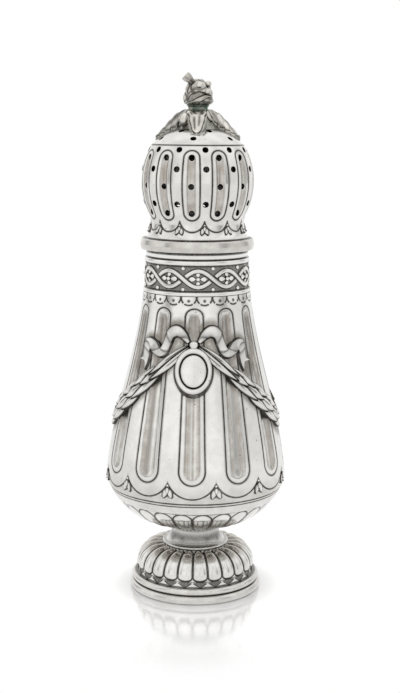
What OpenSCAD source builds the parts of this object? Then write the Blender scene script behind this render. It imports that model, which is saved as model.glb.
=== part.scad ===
// Sugar caster: a fluted pear-shaped silver vase on a gadrooned foot, with a pierced pull-off cap.
// Millimetres, Z up, origin at the centre of the base. The front medallion faces -Y.

/* [Sheet] */
// Thickness of the raised silver sheet
wall = 1.2; // [1.0:0.1:1.6]
// Film of solder between two soldered pieces
solder = 0.05; // [0.02:0.01:0.1]

/* [Foot] */
// Largest radius of the base ring
foot_r = 25.9; // [25:0.1:30]
// Height of the base ring
foot_ring_h = 3.2; // [2.4:0.1:4.5]
// Largest radius of the stepped ring on the base ring
foot_step_r = 25.1; // [24.4:0.1:25.8]
// Height of the stepped ring
foot_step_h = 2.8; // [2:0.1:4]
// Depth of the groove between the two rings
foot_groove = 0.9; // [0.4:0.1:1.4]
// Height of the leaf border between rings and gadroons
border_h = 1.0; // [0.6:0.1:2]
// Largest radius of the gadrooned dome
dome_r = 23.3; // [22.4:0.1:24]
// Radius of the dome's bulge, seen in section
dome_curve = 8.1; // [7:0.1:9.5]
// How far the widest part of the dome lies above the border
dome_drop = 2.5; // [1.5:0.1:3.5]
// Number of gadroons
gadroon_count = 24; // [16:2:30]
// Depth of the grooves between gadroons
gadroon_depth = 0.8; // [0.4:0.1:0.9]
// Half width of the grooves between gadroons
gadroon_half_w = 1.45; // [0.8:0.05:1.6]

/* [Stem] */
// Height of the stem collar between dome and bowl
stem_h = 8.8; // [6:0.1:11]
// Radius of the collar's foot flange
flange_r = 13.0; // [12:0.1:14.5]
// Thickness of the foot flange
flange_h = 0.9; // [0.6:0.1:1.4]
// Radius of the collar at its waist
stem_waist_r = 9.4; // [9:0.1:10.5]
// Radius of the collar where it carries the bowl
stem_top_r = 10.4; // [10:0.1:10.5]
// Radius of the open bore through collar and dome
stem_bore_r = 7.2; // [5:0.1:8]

/* [Body] */
// Radius of the flat under the bowl
bowl_flat_r = 10.6; // [10.5:0.1:12]
// Height of the lobed lower bowl
bowl_h = 15.0; // [13:0.1:19]
// Radius at the seam between bowl and body
seam_r = 33.6; // [32:0.1:34.4]
// Largest radius of the body
belly_r = 34.9; // [34.5:0.1:37]
// Height of the belly above the seam
belly_rise = 5.1; // [4:0.1:8]
// Height of the body wall from belly to neck
body_h = 71.5; // [62:0.5:84]
// Radius of the wall at the neck
neck_r = 20.6; // [20.3:0.1:22]
// How long the wall stays upright above the belly
belly_pull = 17.6; // [10:0.1:24]
// How far down the neck's line pulls the wall in
neck_pull = 27.8; // [18:0.1:34]
// How far outside the neck that pull lies
neck_flare = 3.5; // [2:0.1:6]
// Number of flutes round the body, and round the cap
flute_count = 12; // [8:1:12]
// Height of the flutes' lower ends above the belly
flute_start = 3.2; // [2:0.1:8]
// Distance of the flutes' upper ends below the neck
flute_stop = 4.4; // [3:0.1:12]
// Depth of a flute
flute_depth = 0.7; // [0.4:0.05:0.8]
// Depth of the sunk margin round a body flute
margin_depth = 0.25; // [0.1:0.05:0.35]
// Half of the angle that a body flute takes round the body
flute_half_angle = 4.6; // [3:0.1:6]
// Half of the angle that a flute takes with its margin
margin_half_angle = 8.1; // [6:0.1:10]
// Number of lobes round the bowl
lobe_count = 24; // [16:2:30]
// Height of the lobes' lower ends above the bowl's flat
lobe_start = 1.6; // [1:0.1:3]
// Distance of the lobes' upper ends below the seam
lobe_stop = 6.4; // [4:0.1:8]
// Half width of the chased lines between lobes
lobe_line = 0.45; // [0.3:0.05:0.6]

/* [Neck] */
// Outer radius of the neck tube that carries the frieze
tube_r = 19.3; // [19.1:0.1:19.6]
// Height of the lower wire
low_wire_h = 1.6; // [1.2:0.1:3]
// How far the lower wire stands out beyond the neck
low_wire_out = 0.2; // [0.1:0.05:0.6]
// Height of the frieze
frieze_h = 9.8; // [6:0.1:12]
// Outer radius at the frieze's foot
frieze_r = 20.2; // [20:0.1:20.6]
// How much the frieze leans in towards its top
frieze_lean = 0.3; // [0:0.05:0.4]
// Height of the upper wire
up_wire_h = 1.9; // [1.5:0.1:4]
// How far the upper wire stands out beyond the neck tube
up_wire_out = 0.9; // [0.75:0.05:1.5]
// Height of the mouth ring
mouth_h = 2.7; // [1.8:0.1:4]
// Bore radius of the mouth
mouth_bore_r = 17.7; // [17.2:0.1:17.9]
// Outer radius of the mouth ring
mouth_r = 19.5; // [19.2:0.1:19.9]

/* [Cap] */
// Gap between the seated cap and the mouth
seat_gap = 0.15; // [0.05:0.05:0.3]
// Clearance of the sleeve in the mouth, all round
sleeve_gap = 0.15; // [0.1:0.05:0.3]
// Wall of the sleeve
sleeve_wall = 0.9; // [0.7:0.1:1.2]
// Length of the sleeve below the rim
sleeve_l = 10.5; // [7:0.5:14]
// Largest radius of the cap rim
rim_r = 21.7; // [21.4:0.1:22.6]
// Height of the cap rim
rim_h = 4.4; // [3.4:0.1:5.5]
// Radius of the crease between rim and skirt
skirt_r = 20.1; // [19.8:0.1:20.4]
// Height of the concave skirt
skirt_h = 8.8; // [7:0.1:11]
// How far the skirt draws in below the globe
skirt_cove = 1.1; // [0.6:0.1:1.6]
// Largest radius of the globe
globe_r = 21.5; // [20.8:0.1:23]
// Height of the globe's widest part above the skirt
globe_low = 12.3; // [11:0.1:14]
// Height of the engraved shoulder line above the widest part
globe_high = 13.8; // [12:0.1:16]
// Radius at the shoulder line
shoulder_r = 17.6; // [17:0.1:18.6]
// Height of the plain dome above the shoulder line
crown_h = 7.4; // [6:0.1:9]
// How far the cap is turned against the body
cap_turn = -4; // [-15:1:15]
// Half of the angle that a cap flute spans up and down the globe
cap_flute_span = 23; // [16:0.5:25]
// Half width of a cap flute
cap_flute_half_w = 2.1; // [1.4:0.1:2.5]
// Radius of the sprinkling holes
hole_r = 1.15; // [0.8:0.05:1.3]
// Number of holes in each of the crown's two rings
crown_hole_count = 6; // [4:1:8]

/* [Finial] */
// Radius of the threaded stud
stud_r = 1.5; // [1.2:0.1:2]
// Clearance round the stud
stud_gap = 0.06; // [0.05:0.01:0.15]
// Radius of the washer inside the cap
washer_r = 4.2; // [3.6:0.1:5]
// Thickness of the washer
washer_h = 0.8; // [0.5:0.1:1.2]
// Radius of the nut over its corners
nut_r = 3.0; // [2.6:0.1:3.5]
// Height of the nut
nut_h = 2.4; // [1.8:0.1:3.5]
// Height of the leafy mound on the crown
mound_h = 5.4; // [4:0.1:7]
// Radius of the mound at its top
mound_top_r = 4.0; // [3.5:0.1:4.6]
// Radius of the mound at its foot
mound_foot_r = 9.0; // [8:0.1:9.5]
// How far the leaves reach out from the axis
leaf_reach = 16.0; // [13:0.1:17]
// Width of a leaf
leaf_w = 6.2; // [4:0.1:8]
// Thickness of a leaf
leaf_h = 1.1; // [0.8:0.1:1.6]
// Height of the collar under the bud
collar_h = 2.2; // [1.5:0.1:3]
// Radius of the collar's flared top
collar_r = 4.9; // [4.4:0.1:5.4]
// Height of the bud
bud_h = 9.4; // [7:0.1:12]
// Largest radius of the bud
bud_r = 5.3; // [4.5:0.1:6.2]
// Number of petals folded round the bud
petal_count = 5; // [3:1:8]
// Radius of the knob on the broken stalk
knob_r = 1.8; // [1.2:0.1:2.2]
// Radius of a berry
berry_r = 1.3; // [1:0.1:1.6]

/* [Ornament] */
// Height of the medallion's centre below the neck
medallion_drop = 27.0; // [24:0.5:32]
// Half width of the medallion
medallion_half_w = 7.2; // [6:0.1:8]
// Half height of the medallion
medallion_half_h = 8.9; // [7.5:0.1:10]
// Width of the medallion's moulded frame
medallion_frame = 2.1; // [1.5:0.1:2.6]
// How far the medallion stands out
medallion_h = 1.5; // [1:0.1:2]
// Radius of the knot bead above the medallion
knot_r = 1.4; // [1:0.1:1.8]
// Half width of the ribbon
ribbon_half_w = 1.2; // [0.8:0.05:1.25]
// Height of the ribbon's crest above the knot
ribbon_rise = 5.6; // [4.5:0.1:6]
// Depth of the fork in the ribbon's tail
ribbon_fork = 1.4; // [0.5:0.1:2]
// How far the ribbon stands out
ribbon_h = 1.0; // [0.7:0.1:1.5]
// Number of leaf pairs along half a garland
garland_pairs = 6; // [4:1:7]
// How far half a garland falls below the medallion's centre
garland_fall = 23.0; // [18:0.5:26]
// Length of a garland leaf
garland_leaf_l = 10.5; // [8:0.5:12]
// Width of a garland leaf
garland_leaf_w = 4.4; // [3:0.1:5.5]
// How far the garland stands out
garland_h = 2.2; // [1.6:0.1:2.8]

/* [Hidden] */
$fn = 96;

// Heights, stacked from the table upwards
z_step = foot_ring_h;
z_border = z_step + foot_step_h;
z_dome = z_border + border_h;
z_bulge = z_dome + dome_drop;
z_stem = z_bulge + dome_curve;
z_bowl = z_stem + stem_h;
z_seam = z_bowl + bowl_h;
z_belly = z_seam + belly_rise;
z_neck = z_belly + body_h;
z_frieze = z_neck + low_wire_h;
z_up_wire = z_frieze + frieze_h;
z_mouth = z_up_wire + up_wire_h;
z_cap = z_mouth + mouth_h + seat_gap;
z_skirt = z_cap + rim_h;
z_globe = z_skirt + skirt_h;
z_widest = z_globe + globe_low;
z_shoulder = z_widest + globe_high;
z_crown = z_shoulder + crown_h;

// Radii that follow from the driving sizes
dome_axis_r = dome_r - dome_curve;
bowl_curve = ((seam_r - bowl_flat_r) ^ 2 + bowl_h ^ 2) / (2 * bowl_h);
globe_sag = globe_r - shoulder_r;
globe_curve = (globe_high ^ 2 + globe_sag ^ 2) / (2 * globe_sag);
globe_axis_r = globe_r - globe_curve;
crown_curve = (shoulder_r ^ 2 + crown_h ^ 2) / (2 * crown_h);
z_crown_axis = z_crown - crown_curve;
sleeve_r = mouth_bore_r - sleeve_gap;
stud_bore_r = stud_r + stud_gap;

// Points along a cubic curve
function cubic(a, b, c, d, n) = [for (i = [0:n])
    let (t = i / n, s = 1 - t) s ^ 3 * a + 3 * s ^ 2 * t * b + 3 * s * t ^ 2 * c + t ^ 3 * d];
// Points along an arc of a circle
function arc(c, r, from, to, n) = [for (i = [0:n])
    let (a = from + (to - from) * i / n) c + r * [cos(a), sin(a)]];
// The same points in the other order
function back(p) = [for (i = [len(p) - 1:-1:0]) p[i]];
// Direction of a line of points at one of them
function heading(p, i) = let (d = p[min(i + 1, len(p) - 1)] - p[max(i - 1, 0)]) d / norm(d);
// A rising line moved square to itself, outwards where d is positive
function beside(p, d) = [for (i = [0:len(p) - 1]) let (h = heading(p, i)) p[i] + d * [h[1], -h[0]]];
// A rising line moved level, so that the sheet between keeps its thickness
function inside(p, d) = [for (i = [0:len(p) - 1]) let (h = heading(p, i)) p[i] - [d / h[1], 0]];

// The body wall from belly to neck
wall_a = [belly_r, z_belly];
wall_b = [belly_r, z_belly + belly_pull];
wall_c = [neck_r + neck_flare, z_neck - neck_pull];
wall_d = [neck_r, z_neck];
body_line = cubic(wall_a, wall_b, wall_c, wall_d, 12);
// The turn from the seam up to the belly
turn_line = cubic([seam_r, z_seam], [seam_r + 0.6 * (belly_r - seam_r), z_seam + 0.25 * belly_rise],
    [belly_r, z_seam + 0.5 * belly_rise], wall_a, 3);
// Radius of the body at a height between belly and neck
function body_r(z) = lookup(z, [for (p = body_line) [p[1], p[0]]]);

// Globe, shoulder and crown of the cap, as one rising line from the skirt
globe_from = -asin(globe_low / globe_curve);
globe_foot = [globe_axis_r, z_widest] + globe_curve * [cos(globe_from), sin(globe_from)];
globe_lean = globe_low / (globe_foot[0] - globe_axis_r);
skirt_pull = 0.28 * skirt_h;
skirt_line = cubic([skirt_r, z_skirt], [globe_foot[0] - 0.5 * skirt_cove, z_skirt + 0.2 * skirt_h],
    globe_foot - skirt_pull * [globe_lean, 1], globe_foot, 6);
// Radius of the globe at a height between skirt and shoulder
function globe_at(z) = globe_axis_r + sqrt(globe_curve ^ 2 - (z - z_widest) ^ 2);
// Height of the crown at a radius
function crown_z(r) = z_crown_axis + sqrt(crown_curve ^ 2 - r ^ 2);

// Sheet-metal tone and a darker, oxidised tone
silver = [0.82, 0.81, 0.78];
dull_silver = [0.62, 0.6, 0.57];

// Turns a section, drawn as radius and height, round the upright axis
module turned(p) {
    rotate_extrude() polygon(p);
}

// Places its children at the front, then turns them to an azimuth, seen from above
module at_azimuth(a) {
    rotate([0, 0, a]) children();
}

// A shape drawn in the upright plane at the front, pushed outwards from the axis
module outwards(far) {
    rotate([90, 0, 0]) linear_extrude(far) children();
}

// A pointed leaf between two arcs, along X and centred
module leaf_outline(l, w) {
    r = (l ^ 2 + w ^ 2) / (4 * w);
    intersection() {
        translate([0, r - w / 2]) circle(r);
        translate([0, w / 2 - r]) circle(r);
    }
}

// The base ring and the stepped ring on it
module foot_rim() {
    ring = foot_ring_h / 2;
    step = foot_step_h / 2;
    ledge = 1.2;
    inner = dome_r - wall - ledge;
    groove = foot_step_r - foot_groove;
    groove_h = 0.2;
    color(silver)
        turned(concat(
            [[inner, 0]],
            arc([foot_r - ring, ring], ring, -90, 75, 14),
            [[groove, z_step], [groove, z_step + groove_h]],
            arc([foot_step_r - step, z_step + step], step, -70, 90, 12),
            [[inner, z_border]]
        ));
}

// One V-shaped groove between two gadroons, running over the dome at the front
module gadroon_groove() {
    slope = gadroon_half_w / gadroon_depth;
    over = 0.5;
    edge = gadroon_half_w + slope * over;
    vee = [[dome_curve - gadroon_depth, 0], [dome_curve + over, -edge], [dome_curve + over, edge]];
    rotate([0, 0, -90])
        translate([dome_axis_r, 0, z_bulge])
            rotate([90, 0, 0])
                rotate([0, 0, -15])
                    rotate_extrude(angle = 95) polygon(vee);
}

// Section of the dome's sheet: a bulge over the border, and a flat under the stem
module dome_section() {
    z0 = z_border + solder;
    thin = dome_curve - wall;
    foot_w = wall + 0.4;
    inner_r = dome_axis_r + sqrt(thin ^ 2 - dome_drop ^ 2);
    difference() {
        union() {
            intersection() {
                translate([dome_axis_r, z_bulge]) circle(dome_curve);
                translate([dome_axis_r, z_dome]) square([dome_curve + 1, dome_drop + dome_curve + 1]);
            }
            translate([dome_axis_r, z0]) square([inner_r + foot_w - dome_axis_r, z_dome - z0]);
            translate([stem_bore_r, z_stem - wall]) square([dome_axis_r - stem_bore_r, wall]);
        }
        intersection() {
            translate([dome_axis_r, z_bulge]) circle(thin);
            translate([dome_axis_r - 1, z0]) square([dome_curve + 1, 2 * dome_curve]);
        }
        translate([dome_axis_r - 1, z0 - 1]) square([inner_r - dome_axis_r + 1, z_bulge - z0 + 1]);
    }
}

// The gadrooned dome, open underneath
module foot_dome() {
    color(silver)
        difference() {
            rotate_extrude() dome_section();
            for (i = [0:gadroon_count - 1])
                at_azimuth(i * 360 / gadroon_count) gadroon_groove();
        }
}

// The polished spool between dome and bowl
module stem_collar() {
    z0 = z_stem + solder;
    z1 = z_bowl - solder;
    round_r = flange_h / 2;
    flange_step = 1.2;
    sweep = 1.4;
    cove_foot = [flange_r - flange_step, z0 + flange_h];
    waist = [stem_waist_r, z0 + 0.62 * (z1 - z0)];
    pull = 0.28 * (z1 - z0);
    color(silver)
        turned(concat(
            [[stem_bore_r, z0]],
            arc([flange_r - round_r, z0 + round_r], round_r, -90, 90, 8),
            cubic(cove_foot, cove_foot - [sweep, 0], waist - [0, pull], waist, 8),
            cubic(waist, waist + [0, pull / 2], [stem_top_r - 0.3, z1 - 0.6], [stem_top_r, z1], 5),
            [[stem_bore_r, z1]]
        ));
}

// One chased line between two lobes, running up the bowl at the front
module lobe_groove() {
    z_axis = z_bowl + bowl_curve;
    from = acos((bowl_curve - lobe_start) / bowl_curve) - 90;
    to = -asin((bowl_curve - bowl_h + lobe_stop) / bowl_curve);
    rotate([0, 0, -90])
        translate([bowl_flat_r, 0, z_axis])
            rotate([90, 0, 0])
                rotate([0, 0, from])
                    rotate_extrude(angle = to - from) translate([bowl_curve, 0]) circle(lobe_line, $fn = 24);
}

// Region inside an arc that rises from the bowl's flat to the seam
module bowl_section(r) {
    intersection() {
        union() {
            translate([bowl_flat_r, z_bowl + bowl_curve]) circle(r);
            translate([0, z_bowl + bowl_curve - r]) square([bowl_flat_r, r]);
        }
        square([2 * seam_r, z_seam]);
    }
}

// The closed lower bowl
module lower_bowl() {
    color(silver)
        difference() {
            rotate_extrude()
                difference() {
                    bowl_section(bowl_curve);
                    bowl_section(bowl_curve - wall);
                }
            for (i = [0:lobe_count - 1])
                at_azimuth(i * 360 / lobe_count) lobe_groove();
        }
}

// Outline of a flute, seen from the front: it widens with the wall, and its ends are round
module flute_outline(half_angle, inset) {
    w0 = body_r(z_belly + flute_start) * sin(half_angle);
    w1 = body_r(z_neck - flute_stop) * sin(half_angle);
    low = z_belly + flute_start + inset + w0;
    high = z_neck - flute_stop - inset - w1;
    translate([0, low]) circle(w0);
    translate([0, high]) circle(w1);
    polygon([[-w0, low], [w0, low], [w1, high], [-w1, high]]);
}

// All flutes, or their margins, as a layer cut from the wall to a depth
module flute_layer(half_angle, inset, depth) {
    near = neck_r - 1.3;
    intersection() {
        turned(concat(beside(body_line, -depth), back(beside(body_line, 1))));
        union()
            for (i = [0:flute_count - 1])
                at_azimuth(i * 360 / flute_count)
                    translate([0, -near, 0]) outwards(belly_r) flute_outline(half_angle, inset);
    }
}

// The fluted pear-shaped wall with the neck tube in one piece
module body_shell() {
    outer = concat(turn_line, [for (i = [1:len(body_line) - 1]) body_line[i]]);
    inner = inside(outer, wall);
    bore = tube_r - wall;
    inset = body_r(z_belly) * (sin(margin_half_angle) - sin(flute_half_angle)) / 2;
    color(silver)
        difference() {
            turned(concat(
                [[inner[0][0], z_seam + solder], [outer[0][0], z_seam + solder]],
                [for (i = [1:len(outer) - 1]) outer[i]],
                [[tube_r, z_neck], [tube_r, z_mouth - solder], [bore, z_mouth - solder], [bore, z_neck]],
                [for (i = [len(inner) - 2:-1:1]) inner[i]]
            ));
            flute_layer(margin_half_angle, 0, margin_depth);
            flute_layer(flute_half_angle, inset, flute_depth);
        }
}

// A half-round wire soldered round the neck tube
module neck_wire(z, h, r) {
    z0 = z + solder;
    tall = h - solder;
    bead = tall / 2;
    swell = 0.6;
    turned(concat(
        [[tube_r + solder, z0]],
        [for (p = arc([0, 0], 1, -90, 90, 10)) [r - swell + swell * p[0], z0 + bead + bead * p[1]]],
        [[tube_r + solder, z0 + tall]]
    ));
}

module lower_neck_wire() {
    color(silver) neck_wire(z_neck, low_wire_h, neck_r + low_wire_out);
}

module upper_neck_wire() {
    color(silver) neck_wire(z_up_wire, up_wire_h, tube_r + up_wire_out);
}

// The strip round the neck that carries the interlaced frieze
module neck_frieze() {
    z0 = z_frieze + solder;
    color(dull_silver)
        turned([[tube_r + solder, z0], [frieze_r, z0],
            [frieze_r - frieze_lean, z_up_wire], [tube_r + solder, z_up_wire]]);
}

// The thick ring round the mouth, in which the sleeve of the cap slides
module mouth_ring() {
    top = z_mouth + mouth_h;
    soft = 0.4;
    color(silver)
        turned([[mouth_bore_r, z_mouth], [mouth_r - soft, z_mouth], [mouth_r, z_mouth + soft],
            [mouth_r, top - soft], [mouth_r - soft, top], [mouth_bore_r, top]]);
}

// A layer on the body wall, from the solder film out to a height
module relief_layer(h) {
    turned(concat(beside(body_line, solder), back(beside(body_line, h))));
}

// An oval with half width a and half height b
module oval(a, b) {
    polygon([for (i = [0:47]) [a * cos(7.5 * i), b * sin(7.5 * i)]]);
}

z_medallion = z_neck - medallion_drop;
z_knot = z_medallion + medallion_half_h + 0.45 * knot_r;

// Room for the knot bead in the pieces that meet under it
module knot_room() {
    translate([0, 0, z_knot]) rotate([90, 0, 0]) cylinder(r = knot_r + solder, h = belly_r + garland_h);
}

// The oval medallion: a moulded frame and a raised blank plate inside a groove
module medallion() {
    far = belly_r + medallion_h;
    groove = 0.35;
    plate_w = medallion_half_w - medallion_frame - groove;
    plate_h = medallion_half_h - medallion_frame - groove;
    difference() {
        union() {
            intersection() {
                relief_layer(medallion_h);
                translate([0, 0, z_medallion]) outwards(far)
                    difference() {
                        oval(medallion_half_w, medallion_half_h);
                        oval(medallion_half_w - medallion_frame, medallion_half_h - medallion_frame);
                    }
            }
            intersection() {
                relief_layer(medallion_h / 2);
                translate([0, 0, z_medallion]) outwards(far)
                    oval(medallion_half_w - medallion_frame / 2, medallion_half_h - medallion_frame / 2);
            }
            intersection() {
                relief_layer(medallion_h);
                translate([0, 0, z_medallion]) outwards(far) oval(plate_w, plate_h);
            }
        }
        knot_room();
    }
}

// The bead that stands for the ribbon's knot
module knot() {
    intersection() {
        relief_layer(2 * knot_r);
        translate([0, -body_r(z_knot) - knot_r / 3, z_knot])
            rotate([90, 0, 0]) turned(concat([[0, -knot_r]], arc([0, 0], knot_r, -60, 90, 10)));
    }
}

// The right-hand ribbon along its middle line: azimuth, and height above the knot in shares of its rise
ribbon_path = [[4.5, 0.2], [9.5, 0.72], [15.5, 0.96], [21.2, 0.7], [24.2, 0.12], [27.4, -0.4], [32, -0.6],
    [36.5, -0.42], [40, -0.12], [44, -0.06], [47.4, -0.3], [49, -0.75], [50.5, -1.55]];

// A smooth line through points, with n steps from each point to the next
function through(p, n) = let (last = len(p) - 1) concat([for (k = [0:last - 1])
    let (a = p[max(k - 1, 0)], b = p[k], c = p[k + 1], d = p[min(k + 2, last)])
        for (i = [0:n - 1]) let (t = i / n) b + 0.5 * t * (c - a + t * (2 * a - 5 * b + 4 * c - d
            + t * (3 * b - 3 * c + d - a)))], [p[last]]);

// Azimuth of the ribbon's middle
ribbon_mid = 27;
// Middle line of the ribbon, flattened on the plane square to that azimuth
ribbon_line = through([for (p = ribbon_path)
    let (z = z_knot + p[1] * ribbon_rise) [body_r(z) * sin(p[0] - ribbon_mid), z]], 4);

// The right-hand ribbon with its forked tail, pushed outwards through a layer on the wall
module ribbon() {
    n = len(ribbon_line) - 1;
    fork = ribbon_line[n] - ribbon_fork * heading(ribbon_line, n);
    low_edge = beside(ribbon_line, ribbon_half_w);
    high_edge = beside(ribbon_line, -ribbon_half_w);
    intersection() {
        relief_layer(ribbon_h);
        at_azimuth(ribbon_mid) outwards(belly_r) polygon(concat(low_edge, [fork], back(high_edge)));
    }
}

// Points that pull the middle line of half a garland: azimuth, and height in shares of the garland's fall
garland_path = [[5, 0.4], [32, -0.035], [60, -0.565], [88, -1]];
// That middle line at share s, as azimuth and height above the medallion's centre
function garland_at(s) = let (t = 1 - s, p = t ^ 3 * garland_path[0] + 3 * t ^ 2 * s * garland_path[1]
        + 3 * t * s ^ 2 * garland_path[2] + s ^ 3 * garland_path[3]) [p[0], p[1] * garland_fall];
// Slope of that line on the wall, as an angle below level
function garland_slope(s) = let (a = garland_at(s - 0.02), b = garland_at(s + 0.02),
        r = body_r(z_medallion + garland_at(s)[1])) atan2(b[1] - a[1], (b[0] - a[0]) * r * PI / 180);

// One leaf of a garland on its own layer, at share s, beside the middle line and splayed from it
module garland_leaf(s, aside, splay, l, w) {
    p = garland_at(s);
    at_azimuth(p[0])
        translate([0, 0, z_medallion + p[1]])
            outwards(belly_r + garland_h)
                rotate(garland_slope(s)) translate([0, aside]) rotate(splay) leaf_outline(l, w);
}

// Half of the angle left between two garlands where they meet at the side
garland_seam = 0.3;

// Half a garland to the right of the knot: a slim stem and overlapping pairs of leaves
module garland_right() {
    first = 0.36;
    gap = 0.6 / (garland_pairs - 1);
    lag = 0.35 * gap;
    aside = 0.42 * garland_leaf_w;
    splay = 14;
    clear = 0.1;
    difference() {
        union() {
            intersection() {
                relief_layer(garland_h);
                union()
                    for (i = [0:garland_pairs - 1])
                        garland_leaf(first + i * gap, 0, 0, garland_leaf_l, 0.9 * garland_leaf_w);
            }
            intersection() {
                relief_layer(0.72 * garland_h);
                union() {
                    for (i = [0:garland_pairs - 1]) {
                        garland_leaf(first + i * gap - lag, aside, splay, garland_leaf_l, garland_leaf_w);
                        garland_leaf(first + i * gap - lag, -aside, -splay, garland_leaf_l, garland_leaf_w);
                    }
                    garland_leaf(0.12, 0, 0, 1.4 * garland_leaf_l, 0.55 * garland_leaf_w);
                    garland_leaf(0.24, 0, 0, 1.15 * garland_leaf_l, 0.8 * garland_leaf_w);
                }
            }
        }
        knot_room();
        translate([0, 0, z_medallion])
            outwards(2 * belly_r) oval(medallion_half_w + clear, medallion_half_h + clear);
        at_azimuth(90 - garland_seam)
            translate([0, -2 * belly_r, z_belly]) cube([belly_r, 4 * belly_r, body_h]);
    }
}

module front_medallion() {
    color(silver) medallion();
}

module back_medallion() {
    color(silver) at_azimuth(180) medallion();
}

module front_knot() {
    color(silver) knot();
}

module back_knot() {
    color(silver) at_azimuth(180) knot();
}

module front_ribbon_left() {
    color(silver) mirror([1, 0, 0]) ribbon();
}

module front_ribbon_right() {
    color(silver) ribbon();
}

module back_ribbon_left() {
    color(silver) at_azimuth(180) mirror([1, 0, 0]) ribbon();
}

module back_ribbon_right() {
    color(silver) at_azimuth(180) ribbon();
}

module front_garland_right() {
    color(silver) garland_right();
}

module front_garland_left() {
    color(silver) mirror([1, 0, 0]) garland_right();
}

module back_garland_right() {
    color(silver) at_azimuth(180) garland_right();
}

module back_garland_left() {
    color(silver) at_azimuth(180) mirror([1, 0, 0]) garland_right();
}

// One cap flute at the front: a bent bar with round ends, sunk into the globe
module cap_flute_cutter() {
    d = flute_depth;
    bar = 1 / (2 * d / cap_flute_half_w ^ 2 - 1 / globe_r);
    path = globe_curve + bar - d;
    tip = bar - 0.03;
    rotate([0, 0, -90])
        translate([globe_axis_r, 0, z_widest])
            rotate([90, 0, 0]) {
                rotate([0, 0, -cap_flute_span])
                    rotate_extrude(angle = 2 * cap_flute_span) translate([path, 0]) circle(bar);
                for (a = [-cap_flute_span, cap_flute_span])
                    rotate([0, 0, a]) translate([path, 0, 0]) sphere(tip);
            }
}

// Heights of the holes in a flute, and of those between two flutes, from the globe's widest part
flute_holes = [0.685 * globe_high, -0.1 * globe_low, -0.915 * globe_low];
rib_holes = [0.88 * globe_high, 0.373 * globe_high, -0.62 * globe_low];
// Length of the drill that makes them
drill_l = 6;

// A sprinkling hole square to the globe at a height, at the front
module globe_hole(z) {
    lean = asin((z - z_widest) / globe_curve);
    translate([0, -globe_at(z), z]) rotate([90 - lean, 0, 0]) cylinder(r = hole_r, h = drill_l, center = true);
}

// A sprinkling hole square to the crown at a distance from the axis, at the front
module crown_hole(r) {
    lean = acos(r / crown_curve);
    translate([0, -r, crown_z(r)]) rotate([90 - lean, 0, 0]) cylinder(r = hole_r, h = drill_l, center = true);
}

// Region inside the cap's line, moved in by a distance
module cap_section(d) {
    edge = inside(skirt_line, d);
    intersection() {
        translate([globe_axis_r, z_widest]) circle(globe_curve - d);
        translate([0, z_globe]) square([2 * globe_r, globe_low + globe_high]);
    }
    intersection() {
        translate([0, z_crown_axis]) circle(crown_curve - d);
        translate([0, z_shoulder]) square([2 * globe_r, crown_h]);
    }
    polygon(concat([[0, z_skirt + solder - d], [edge[0][0], z_skirt + solder - d]],
        [for (i = [1:len(edge) - 1]) edge[i]], [[0, z_globe]]));
}

// The pierced and fluted globe with its skirt and crown
module cap_shell() {
    step = 360 / flute_count;
    color(silver)
        at_azimuth(cap_turn)
            difference() {
                rotate_extrude()
                    difference() {
                        cap_section(0);
                        cap_section(wall);
                        translate([0, z_shoulder]) square([stud_bore_r, 2 * crown_h]);
                    }
                for (i = [0:flute_count - 1])
                    at_azimuth(i * step) {
                        cap_flute_cutter();
                        for (z = flute_holes) globe_hole(z_widest + z);
                        at_azimuth(step / 2)
                            for (z = rib_holes) globe_hole(z_widest + z);
                    }
                for (i = [0:crown_hole_count - 1])
                    at_azimuth(i * 360 / crown_hole_count) {
                        crown_hole(0.847 * shoulder_r);
                        at_azimuth(180 / crown_hole_count) crown_hole(0.585 * shoulder_r);
                    }
            }
}

// The moulded ring round the foot of the cap: a broad band, a little rounder above than below
module cap_rim() {
    low = 0.5;
    high = 1.1;
    swell = 0.2;
    crease = 0.2;
    color(silver)
        turned(concat(
            [[sleeve_r + solder, z_cap], [rim_r - swell - low, z_cap]],
            arc([rim_r - swell - low, z_cap + low], low, -90, -15, 4),
            [[rim_r, z_cap + 0.45 * rim_h]],
            arc([rim_r - swell - high, z_skirt - high - 0.1], high, 15, 80, 5),
            [[skirt_r + crease, z_skirt], [sleeve_r + solder, z_skirt]]
        ));
}

// The sleeve that holds the cap in the mouth
module cap_sleeve() {
    color(dull_silver)
        turned([[sleeve_r - sleeve_wall, z_cap - sleeve_l], [sleeve_r, z_cap - sleeve_l],
            [sleeve_r, z_skirt], [sleeve_r - sleeve_wall, z_skirt]]);
}

z_mound = z_crown + mound_h;
z_bud = z_mound + collar_h;
// Line of a leaf's underside, falling from the mound's top to the shoulder
leaf_line = cubic([mound_top_r, z_mound], [mound_top_r + 4.5, z_mound - 1.5],
    [leaf_reach - 3, crown_z(leaf_reach) + 3.5], [leaf_reach, crown_z(leaf_reach) + 0.4], 10);

// The leafy mound between crown and collar
module finial_mound() {
    under = [for (p = leaf_line) if (p[0] <= 0.85 * mound_foot_r) p - [0, solder]];
    crown = [for (i = [0:5]) let (r = stud_bore_r + i / 5 * (mound_foot_r - stud_bore_r))
        [r, crown_z(r) + solder]];
    color(dull_silver)
        turned(concat(crown, back(under), [[stud_bore_r, z_mound - solder]]));
}

// A leaf at the front that falls from the mound to the crown
module finial_leaf() {
    falling = back(leaf_line);
    difference() {
        intersection() {
            turned(concat(falling, back(beside(falling, leaf_h))));
            translate([0, -(leaf_reach + mound_top_r) / 2, z_crown_axis])
                linear_extrude(2 * crown_curve) rotate(90) leaf_outline(leaf_reach - mound_top_r + 2, leaf_w);
        }
        cylinder(r = collar_r + 0.1, h = 2 * z_crown);
    }
}

module finial_leaf_front() {
    color(silver) finial_leaf();
}

module finial_leaf_back() {
    color(silver) at_azimuth(180) finial_leaf();
}

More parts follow.
